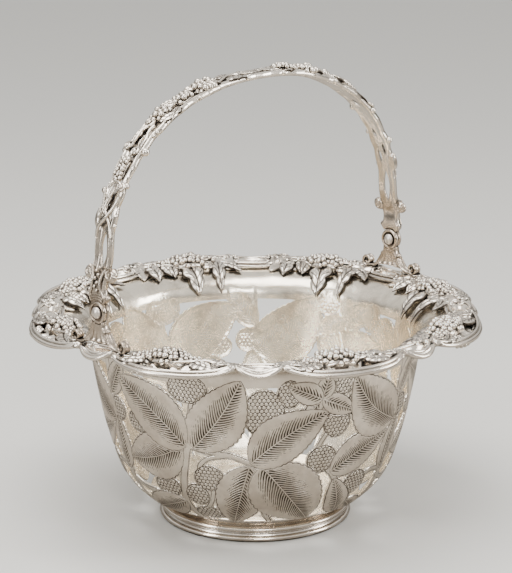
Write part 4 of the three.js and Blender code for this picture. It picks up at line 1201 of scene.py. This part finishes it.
def handle_crown(material):
    """The top of the handle, with the same trim on both halves and one cluster at the top."""
    body, trim = Shape(), Shape()
    band(body, on_arch, SPLICE, 2 * ARCH_TOP - SPLICE)
    body.make("handle_crown_band", "handle", ["handle_crown"], "handle_silver", material)
    for hand, heaps, seed in ((1, CROWN_HEAPS, 71), (-1, CROWN_HEAPS[:-1], 81)):
        place = arm_chart(hand)
        curled_leaf(trim, place, 142.5, -2.6, 4.0, 2.2, 200, 1)
        handle_trim(trim, place, CROWN_STRANDS, heaps, CROWN_LEAVES, CROWN_KNOBS, seed)
    trim.make("handle_crown_trim", "handle", ["handle_crown"], "handle_silver", material)


# Hinges

DISC_RADIUS = 7.0
HINGE_GAP = 0.35
NECK_GAP = 0.8
RIVET_RADIUS = 2.0
RIVET_HEAD_RADIUS = 3.75
RIVET_DOME = 2.5
TONGUE_ASIDE = np.linspace(-5.2, 5.2, 9)
TONGUE_REACH = np.linspace(3.0, 8.6, 5)
TONGUE_THICK = 2.1
# distance in from the edge and share of the thickness: a rounded edge and a ring round the rivet
DISC_OUTLINE = [(DISC_RADIUS, 0.0), (0.4, 0.0), (0.0, 0.35), (0.0, 0.75), (0.3, 1.0), (0.9, 1.22),
                (1.6, 1.18), (2.0, 0.85), (2.2, 0.5), (DISC_RADIUS, 0.5)]


def spin_on_axis(shape, hand, outline, sides=40):
    """A solid turned about the hinge axis from (radius, x) points that start and end on the axis."""
    radius, x = np.array(outline).T[:, :, None]
    radius = np.maximum(radius, 0.02)
    turn = 2 * np.pi * np.arange(sides) / sides
    points = np.stack(np.broadcast_arrays(hand * x, hand * radius * np.cos(turn),
                                          PIVOT_Z + radius * np.sin(turn)), -1)
    ring = np.arange(sides)[None, :]
    groups = [grid_faces(len(x), sides, wrap=True), ring[:, ::-1], ring + (len(x) - 1) * sides]
    if x[1] + x[2] <= x[-1] + x[-2]:
        groups = [group[:, ::-1] for group in groups]
    shape.add(points, groups)


def hinge_disc(shape, hand, from_x, to_x):
    """A hinge disc of half the thickness, whose ringed face is at to_x."""
    spin_on_axis(shape, hand, [(DISC_RADIUS - inset, from_x + (to_x - from_x) * share)
                               for inset, share in DISC_OUTLINE])


def bracket_foot(shape, place, side):
    """One scrolled foot: a flat web, a round bar on each face and a bead where it leaves the bell."""
    foot = BRACKET_HALF_WIDTH - 3.6
    t = np.linspace(0, 1, 26)
    turn = np.radians(-90 + 430 * t)
    reach = 3.4 * (1 - t) ** 0.6 + 0.5
    curl = np.stack([side * (foot + reach * np.cos(turn)), BRACKET_BASE + 4.0 + reach * np.sin(turn)], -1)
    lead = smooth_path([(side * 7.4, -12.4), (side * 9.0, -15.4), (side * 11.6, BRACKET_BASE + 3.2),
                        (side * 15.6, BRACKET_BASE + 1.3), (side * foot, BRACKET_BASE + 1.0)], 5)[:-1]
    y, z = np.vstack([lead, curl]).T
    swell = np.interp(np.arange(len(y)), [0, 8, len(lead), len(y)], [0.9, 1.2, 1.1, 0.8])
    tube(shape, place(y, z, 0.0), swell * 0.7, flat=2.6, normal=np.array([1.0, 0.0, 0.0]))
    for out in (-1.9, 1.9):
        tube(shape, place(y, z, out), swell * 0.95)
    knobs(shape, place, [(side * 7.2, -11.4, 0.0, 1.9)])


BELL_TOP = 5.3
BELL_SPREAD = 8.6


def hinge_bracket(side_name, hand, material):
    """Bell-shaped pedestal on two scrolled feet, with the inner half of the lap hinge."""
    shape = Shape()

    def place(y, z, out):
        return np.stack(np.broadcast_arrays(hand * (HINGE_X + out), hand * y, PIVOT_Z + z), -1)

    share = np.linspace(0, 1, 31)[None, :]
    u = np.linspace(-1, 1, 41)[:, None]
    bell = BELL_TOP + BELL_SPREAD * (1 - share) ** 2.4 + 0.9 * ridge(share, 0.62, 0.1)
    y = u * bell
    base = BRACKET_BASE + 1.6 + 1.9 * (1 - np.abs(u) ** 2.2)
    top = -np.sqrt(np.clip((DISC_RADIUS + HINGE_GAP + 0.1) ** 2 - (u * BELL_TOP) ** 2, 0, None))
    z = base + (top - base) * share
    inset = bell - np.abs(y)
    flutes = 0.28 * np.cos(u * np.pi * 5) * smoothstep(0.85, 0.3, share) * smoothstep(1.2, 2.5, inset)
    out = 2.05 + 1.1 * ridge(inset, 0.9, 0.6) + flutes + 0.6 * ridge(z - base, 0.9, 0.7)
    out = out - 0.6 * smoothstep(0.5, 0.0, inset)
    plate(shape, place, y, z, out, -out)
    plate(shape, place, TONGUE_ASIDE[:, None], -TONGUE_REACH[None, ::-1], -HINGE_GAP / 2, -TONGUE_THICK)
    hinge_disc(shape, hand, HINGE_X - HINGE_GAP / 2, HINGE_X - HALF_THICK)
    for side in (-1, 1):
        bracket_foot(shape, place, side)
    node = f"hinge_bracket_{side_name}"
    shape.make(f"{node}_casting", "basket", [node], "rim_silver", material)


def hinge_rivet(side_name, hand, material):
    """A pin with a domed head on each side."""
    shape = Shape()
    reach = HALF_THICK + 0.3
    lean = np.radians(np.linspace(0, 90, 9))
    dome = np.stack([RIVET_HEAD_RADIUS * np.cos(lean), reach - 0.25 + RIVET_DOME * np.sin(lean)], -1)
    right = np.vstack([[(RIVET_RADIUS, 0.0), (RIVET_RADIUS, reach - 0.2)], dome])
    spin_on_axis(shape, hand, np.vstack([right[::-1] * [1, -1], right]) + [0, HINGE_X], 36)
    node = f"hinge_rivet_{side_name}"
    shape.make(f"{node}_dome", "basket", [node], "rivet_silver", material)


# Materials

def rgba(color):
    return (*color, 1.0) if isinstance(color, tuple) else color


class Graph:
    """Short ways to add nodes to the tree of a material or of the world."""

    def __init__(self, owner, shader):
        owner.use_nodes = True
        self.owner = owner
        self.tree = owner.node_tree
        self.shader = next(n for n in self.tree.nodes if n.type == shader)

    def set(self, node, values):
        """Gives a node's inputs their values, or links them where the value is a socket."""
        for key, value in values.items():
            if isinstance(value, bpy.types.NodeSocket):
                self.tree.links.new(value, node.inputs[key])
            else:
                node.inputs[key].default_value = value

    def node(self, kind, values=None, **settings):
        made = self.tree.nodes.new("ShaderNode" + kind)
        for key, value in settings.items():
            setattr(made, key, value)
        self.set(made, values or {})
        return made

    def value(self, name):
        return self.node("Attribute", attribute_name=name).outputs["Fac"]

    def math(self, operation, *sources):
        return self.node("Math", dict(enumerate(sources)), operation=operation).outputs[0]

    def times(self, first, *others):
        for other in others:
            first = self.math("MULTIPLY", first, other)
        return first

    def most(self, first, *others):
        for other in others:
            first = self.math("MAXIMUM", first, other)
        return first

    def ramp(self, x, low, high, out_low=0.0, out_high=1.0):
        values = dict(enumerate((x, low, high, out_low, out_high)))
        return self.node("MapRange", values, interpolation_type="SMOOTHSTEP").outputs[0]

    def mix(self, share, a, b):
        return self.node("Mix", {0: share, 6: rgba(a), 7: rgba(b)}, data_type="RGBA").outputs[2]

    def place(self):
        return self.node("TexCoord").outputs["Object"]

    def height(self):
        return self.node("SeparateXYZ", {0: self.place()}).outputs["Z"]

    def noise(self, scale, detail=2.0, rough=0.5, stretch=(1.0, 1.0, 1.0)):
        """Scale is in waves for each millimetre."""
        place = self.node("Mapping", {"Vector": self.place(), "Scale": [s * scale / MM for s in stretch]})
        values = {"Vector": place.outputs[0], "Scale": 1.0, "Detail": detail, "Roughness": rough}
        return self.node("TexNoise", values).outputs["Fac"]

    def corners(self, distance):
        """1 in the open, 0 deep in a recess."""
        return self.node("AmbientOcclusion", {"Distance": distance * MM}, samples=4).outputs["AO"]

    def bump(self, height, depth, normal=None):
        values = {"Distance": depth * MM, "Strength": 1.0, "Height": height}
        if normal is not None:
            values["Normal"] = normal
        return self.node("Bump", values).outputs["Normal"]

    def finish(self, color, roughness, normal):
        looks = {"Metallic": 1.0, "Base Color": color, "Roughness": roughness, "Normal": normal}
        self.set(self.shader, looks)
        return self.owner


def material_graph(name):
    return Graph(bpy.data.materials.new(name), "BSDF_PRINCIPLED")


SILVER = (0.94, 0.875, 0.79)
SILVER_WARM = (0.95, 0.87, 0.77)
# a lighter copy of the silver for the inner face of the bowl: painted light for its lit inside
SILVER_INSIDE_PAINTED_LIGHTER = (0.96, 0.89, 0.765)
SILVER_SHEET = (0.98, 0.915, 0.82)
STAIN = (0.46, 0.38, 0.305)
RIVET_TONE = (0.88, 0.83, 0.78)
# dark tone mixed in by a mask, and the mask's strongest share: tarnish specks, engraved and chased lines, and
# painted shade in recesses
TARNISH_AND_SHADE = (0.035, 0.026, 0.019)
DEEPEST = 0.97


def tone_and_darkening(graph, base, dark, roughness, scratch=0.012, brown_share=0.0, under=None):
    """Colour, roughness and relief of silver: clouds of tone, brown stains, a dark mask that mixes in tarnish
    specks with the darkening it is given (painted shade in recesses, engraved lines), and fine scratches."""
    clouds = graph.noise(0.05, 3.0, 0.6)
    blotches = graph.most(graph.ramp(graph.noise(0.045, 4.0, 0.65), 0.42, 0.72, 0.0, 0.5), brown_share)
    tone = graph.mix(graph.ramp(clouds, 0.35, 0.7), base, graph.mix(0.12, base, STAIN))
    tone = graph.mix(blotches, tone, STAIN)
    # the given darkening (painted shade in recesses, engraved lines) with random tarnish specks added
    masked = graph.most(dark, graph.ramp(graph.noise(0.9, 3.0, 0.7), 0.66, 0.85, 0.0, 0.14))
    color = graph.mix(masked, tone, TARNISH_AND_SHADE)
    rough = graph.ramp(clouds, 0.3, 0.7, roughness, roughness + 0.08)
    rough = graph.math("ADD", rough, graph.times(masked, 0.25))
    scratches = graph.noise(1.6, 4.0, 0.75, (1.0, 0.25, 1.0))
    return color, rough, graph.bump(scratches, scratch, under)


LEAF_VEINS = 5.0


def leaf_lines(graph):
    """Chased midrib, side veins and edge of the cast leaves, from the values on their corners."""
    aside = graph.math("ABSOLUTE", graph.value("leaf_side"))
    wave = graph.math("SUBTRACT", graph.times(graph.value("leaf_share"), LEAF_VEINS), aside)
    wave = graph.math("PINGPONG", wave, 0.5)
    veins = graph.times(graph.ramp(wave, 0.08, 0.17, 0.85, 0.0), graph.ramp(aside, 0.72, 0.9, 1.0, 0.0))
    drawn = graph.most(graph.ramp(aside, 0.06, 0.15, 1.0, 0.0), graph.ramp(aside, 0.78, 0.95), veins)
    return graph.times(drawn, graph.ramp(graph.value("on_leaf"), 0.9, 0.99))


def cast_silver(name, base=SILVER, roughness=0.17, reach=2.8, depth=DEEPEST, grain=0.025, brown_fade_top=None):
    """Cast and chased silver: painted shade darkens the recesses, chased lines mark the leaves, and the
    colour turns darker and browner towards the bottom, up to brown_fade_top.
    """
    graph = material_graph(name)
    brown_share = 0.0
    # darker and browner towards the bottom, fading out from the pivot up to brown_fade_top
    if brown_fade_top is not None:
        low = graph.ramp(graph.height(), PIVOT_Z * MM, brown_fade_top * MM, 0.9, 0.0)
        brown_share = graph.times(low, graph.ramp(graph.noise(0.08, 2.0, 0.5), 0.3, 0.6, 0.6, 1.0))
    # painted shade: colour darkened by up to depth where ambient occlusion within reach finds a recess, with
    # a ragged edge
    ragged = graph.ramp(graph.noise(0.7, 3.0, 0.6), 0.2, 0.8, -0.12, 0.12)
    dark = graph.ramp(graph.math("ADD", graph.corners(reach), ragged), 0.3, 0.92, depth, 0.0)
    lines = leaf_lines(graph)
    dark = graph.most(dark, graph.times(lines, DEEPEST))
    color, rough, normal = tone_and_darkening(graph, base, dark, roughness, brown_share=brown_share)
    skin = graph.bump(graph.noise(0.45, 3.0, 0.6), grain, normal)
    return graph.finish(color, rough, graph.bump(graph.math("SUBTRACT", 1.0, lines), 0.16, skin))


def turned_silver(name, base=SILVER, roughness=0.13):
    """Turned mouldings: smooth, with fine lines round them and painted shade in the corners."""
    graph = material_graph(name)
    # painted shade in the corners, from ambient occlusion
    dark = graph.ramp(graph.corners(3.0), 0.35, 0.95, 0.9, 0.0)
    brown = graph.ramp(graph.noise(0.05, 2.0, 0.5), 0.35, 0.6, 0.0, 0.5)
    color, rough, normal = tone_and_darkening(graph, base, dark, roughness, brown_share=brown)
    lines = graph.node("TexNoise", noise_dimensions="1D")
    graph.set(lines, {"W": graph.times(graph.height(), 3.0 / MM), "Scale": 1.0})
    return graph.finish(color, rough, graph.bump(lines.outputs["Fac"], 0.008, normal))


VEIN_PITCH = 2.35
VEIN_LEAN = 0.62
VEIN_REACH = 0.68
OUTLINE_WIDTH = 0.26


def motif_areas(graph):
    """Where each kind of motif is the topmost, where any leaf is, and the lines round them all."""
    uneven = graph.ramp(graph.noise(0.3, 2.0), 0.3, 0.7, -0.08, 0.1)
    uncovered, leaves, lines = 1.0, 0.0, 0.0
    areas = {}
    for level in LEVELS:
        inside = graph.value(level)
        area = graph.ramp(inside, -0.04, 0.06)
        edge = graph.math("ADD", graph.math("ABSOLUTE", inside), uneven)
        line = graph.times(graph.ramp(edge, OUTLINE_WIDTH * 0.75, OUTLINE_WIDTH * 1.5, 1.0, 0.0), uncovered)
        lines = graph.most(lines, graph.times(line, 0.8) if level == "stem" else line)
        areas[level] = graph.times(area, uncovered)
        uncovered = graph.times(uncovered, graph.math("SUBTRACT", 1.0, area))
        if level in LEAF_LEVELS:
            leaves = graph.most(leaves, areas[level])
    return areas, leaves, lines


def leaf_cuts(graph, along, across, share):
    """Leaning side veins that thin out towards the edge, and the two lines of the midrib."""
    aside = graph.math("ABSOLUTE", across)
    bend = graph.times(graph.math("POWER", aside, 1.28), VEIN_LEAN)
    wobble = graph.times(graph.noise(0.12, 2.0), 1.6)
    phase = graph.math("ADD", graph.math("SUBTRACT", along, bend), wobble)
    wave = graph.math("PINGPONG", graph.math("DIVIDE", phase, VEIN_PITCH), 0.5)
    reach = graph.ramp(graph.noise(0.4, 1.0), 0.3, 0.7, VEIN_REACH - 0.14, VEIN_REACH + 0.12)
    left = graph.ramp(graph.math("DIVIDE", share, reach), 1.0, 0.0)
    width = graph.times(graph.math("POWER", left, 0.5), 0.35)
    vein = graph.times(graph.ramp(graph.math("SUBTRACT", wave, width), -0.05, 0.05, 1.0, 0.0),
                       graph.ramp(left, 0.0, 0.15), graph.ramp(aside, 0.3, 0.5))
    rib = graph.math("ABSOLUTE", graph.math("SUBTRACT", aside, 0.42))
    return graph.most(vein, graph.ramp(rib, 0.08, 0.2, 0.75, 0.0))


def berry_cuts(graph, along, across):
    """The gaps of a close-packed field of berries."""
    distances = []
    for shift in (0.0, 0.5):
        squares = []
        for place, pitch in ((along, BERRY_PITCH), (across, BERRY_ROWS)):
            offset = graph.math("WRAP", graph.math("ADD", place, shift * pitch), pitch / 2, -pitch / 2)
            squares.append(graph.times(offset, offset))
        distances.append(graph.math("SQRT", graph.math("ADD", *squares)))
    return graph.ramp(graph.math("MINIMUM", *distances), 0.35 * BERRY_PITCH, 0.48 * BERRY_PITCH)


def engraved_silver(name):
    """Sheet silver with engraved leaves, berries and stems, from the values on its corners; the inner face is
    painted lighter.
    """
    graph = material_graph(name)
    outside = graph.value("outside")
    along, across, share = (graph.value(mark) for mark in PLACE_NAMES)
    areas, leaves, lines = motif_areas(graph)
    cuts = graph.most(graph.times(leaf_cuts(graph, along, across, share), leaves),
                      graph.times(berry_cuts(graph, along, across), areas["berry"]), lines)
    cuts = graph.times(cuts, graph.ramp(graph.noise(0.12, 3.0, 0.6), 0.3, 0.6, 0.78, 1.0))
    seen = graph.times(cuts, graph.ramp(outside, 0.4, 0.9, 0.12, 1.0))
    matt = graph.times(graph.ramp(graph.noise(0.25, 4.0, 0.7), 0.3, 0.75, 0.0, 0.12), leaves,
                       graph.ramp(outside, 0.4, 0.9, 0.2, 1.0))
    # painted light: the inner face gets a lighter copy of the silver
    base = graph.mix(outside, SILVER_INSIDE_PAINTED_LIGHTER, graph.mix(leaves, SILVER_SHEET, SILVER_WARM))
    patches = graph.times(graph.ramp(graph.noise(0.035, 3.0, 0.6), 0.44, 0.62, 0.0, 0.38), outside)
    dents = graph.bump(graph.noise(0.06, 2.0, 0.4), 0.8)
    color, rough, normal = tone_and_darkening(graph, base, graph.most(graph.times(seen, DEEPEST), matt), 0.15, 0.0022,
                                patches, dents)
    rough = graph.math("ADD", rough, graph.times(leaves, outside, 0.16))
    rough = graph.math("ADD", rough, graph.ramp(outside, 0.0, 1.0, 0.05, 0.0))
    return graph.finish(color, rough, graph.bump(graph.math("SUBTRACT", 1.0, seen), 0.14, normal))


# Stage: camera, floor and lights

CAMERA_AZIMUTH = -45.98
CAMERA_ELEVATION = 14.45
CAMERA_DISTANCE = 1454.7
CAMERA_AIM_Z = 153.3
CAMERA_AIM_SIDE = 0.6
FOCAL_PIXELS = 2236.7
IMAGE_HEIGHT = 573
SENSOR = 36.0
CLIP_END_M = 20.0


def aim_along(made, direction):
    made.rotation_mode = "QUATERNION"
    made.rotation_quaternion = direction.to_track_quat("-Z", "Y")


def camera():
    azimuth, elevation = math.radians(CAMERA_AZIMUTH), math.radians(CAMERA_ELEVATION)
    back = Vector((math.sin(azimuth) * math.cos(elevation), -math.cos(azimuth) * math.cos(elevation),
                   math.sin(elevation)))
    side = Vector((math.cos(azimuth), math.sin(azimuth), 0))
    data = bpy.data.cameras.new("camera")
    data.sensor_width = SENSOR
    data.lens = FOCAL_PIXELS * SENSOR / IMAGE_HEIGHT
    data.clip_end = CLIP_END_M
    made = add_object("camera", data)
    made.location = (side * CAMERA_AIM_SIDE + Vector((0, 0, CAMERA_AIM_Z)) + back * CAMERA_DISTANCE) * MM
    aim_along(made, -back)
    bpy.context.scene.camera = made
    return back, side


FLOOR_HALF_M = 6.0
FLOOR_SEEN = (0.70, 0.70, 0.685)
FLOOR_IN_SILVER = (0.33, 0.31, 0.28)
SKY_SEEN = (0.66, 0.66, 0.66 * 0.985)
# height from 0 straight down to 1 straight up, brightness
SKY_BANDS = [(0.0, 0.25), (0.44, 0.15), (0.5, 0.08), (0.56, 0.13), (0.64, 0.72), (0.76, 1.0), (1.0, 0.88)]
SKY_TINT = (1.0, 0.98, 0.935)


def pale_to_camera(graph, reflected, seen):
    return graph.mix(graph.node("LightPath").outputs["Is Camera Ray"], reflected, seen)


def floor():
    mesh = bpy.data.meshes.new("floor")
    corners = [(x * FLOOR_HALF_M, y * FLOOR_HALF_M, 0) for x, y in ((-1, -1), (1, -1), (1, 1), (-1, 1))]
    mesh.from_pydata(corners, [], [(0, 1, 2, 3)])
    made = add_object("floor", mesh)
    graph = material_graph("floor")
    color = pale_to_camera(graph, FLOOR_IN_SILVER, FLOOR_SEEN)
    graph.set(graph.shader, {"Base Color": color, "Roughness": 0.6})
    mesh.materials.append(graph.owner)


def world():
    """Pale to the camera; to the silver a room that is dark low down and light overhead."""
    made = bpy.data.worlds.new("studio")
    bpy.context.scene.world = made
    graph = Graph(made, "BACKGROUND")
    way = graph.node("SeparateXYZ", {0: graph.node("TexCoord").outputs["Generated"]})
    level = graph.node("MapRange", {0: way.outputs["Z"], 1: -1.0})
    bands = graph.node("ValToRGB", {0: level.outputs[0]})
    bands.color_ramp.interpolation = "EASE"
    while len(bands.color_ramp.elements) < len(SKY_BANDS):
        bands.color_ramp.elements.new(0.5)
    for element, (where, grey) in zip(bands.color_ramp.elements, SKY_BANDS):
        element.position = where
        element.color = (*(grey * share for share in SKY_TINT), 1)
    graph.set(graph.shader, {"Color": pale_to_camera(graph, bands.outputs[0], SKY_SEEN)})


# name, metres towards the camera, to its right and up, size, watts, colour
LAMPS = [
    ("overhead", 0.25, -0.2, 1.5, (1.3, 0.9), 28, (1.0, 0.97, 0.92)),
    ("left", 0.8, -1.2, 0.6, (0.3, 0.9), 9, (1.0, 0.98, 0.94)),
    ("right", 0.1, 1.4, 0.6, (0.3, 0.9), 13, (1.0, 0.98, 0.94)),
    ("front", 1.5, 0.25, 0.75, (0.5, 0.3), 7, (1.0, 0.98, 0.94)),
]
LIT_PLACE_M = Vector((0, 0, 0.15))


def lights(back, side):
    """Area lamps round the basket, placed as the camera sees it and aimed at its middle."""
    flat = Vector((back.x, back.y, 0)).normalized()
    for name, towards, right, up, size, power, color in LAMPS:
        data = bpy.data.lights.new(name, "AREA")
        data.shape = "RECTANGLE"
        data.size, data.size_y = size
        data.energy = power
        data.color = color
        made = add_object(name, data)
        made.location = flat * towards + side * right + Vector((0, 0, up))
        aim_along(made, LIT_PLACE_M - made.location)


# Making

back, side = camera()
floor()
world()
lights(back, side)

sheet = engraved_silver("engraved_sheet")
# reach and depth set how far and how dark each cast material's painted shade in recesses goes
cast = cast_silver("cast_rim")
hinge = cast_silver("cast_hinge", reach=3.2, brown_fade_top=PIVOT_Z + 60)
arm = cast_silver("cast_handle", depth=0.86, brown_fade_top=PIVOT_Z + 75)
turned = turned_silver("turned_foot")
burnished = cast_silver("burnished_rivet", RIVET_TONE, 0.34, 1.6, 0.8, 0.01)
bowl_wall(sheet)
bowl_floor(sheet)
foot_ring(turned)
foot_wire(turned)
for number in range(1, LOBES + 1):
    rim_lobe(number, cast)
    cartouche(number, cast)
for side_name, hand in (("right", 1), ("left", -1)):
    hinge_bracket(side_name, hand, hinge)
    hinge_rivet(side_name, hand, burnished)
    handle_arm(side_name, hand, arm)
handle_crown(arm)
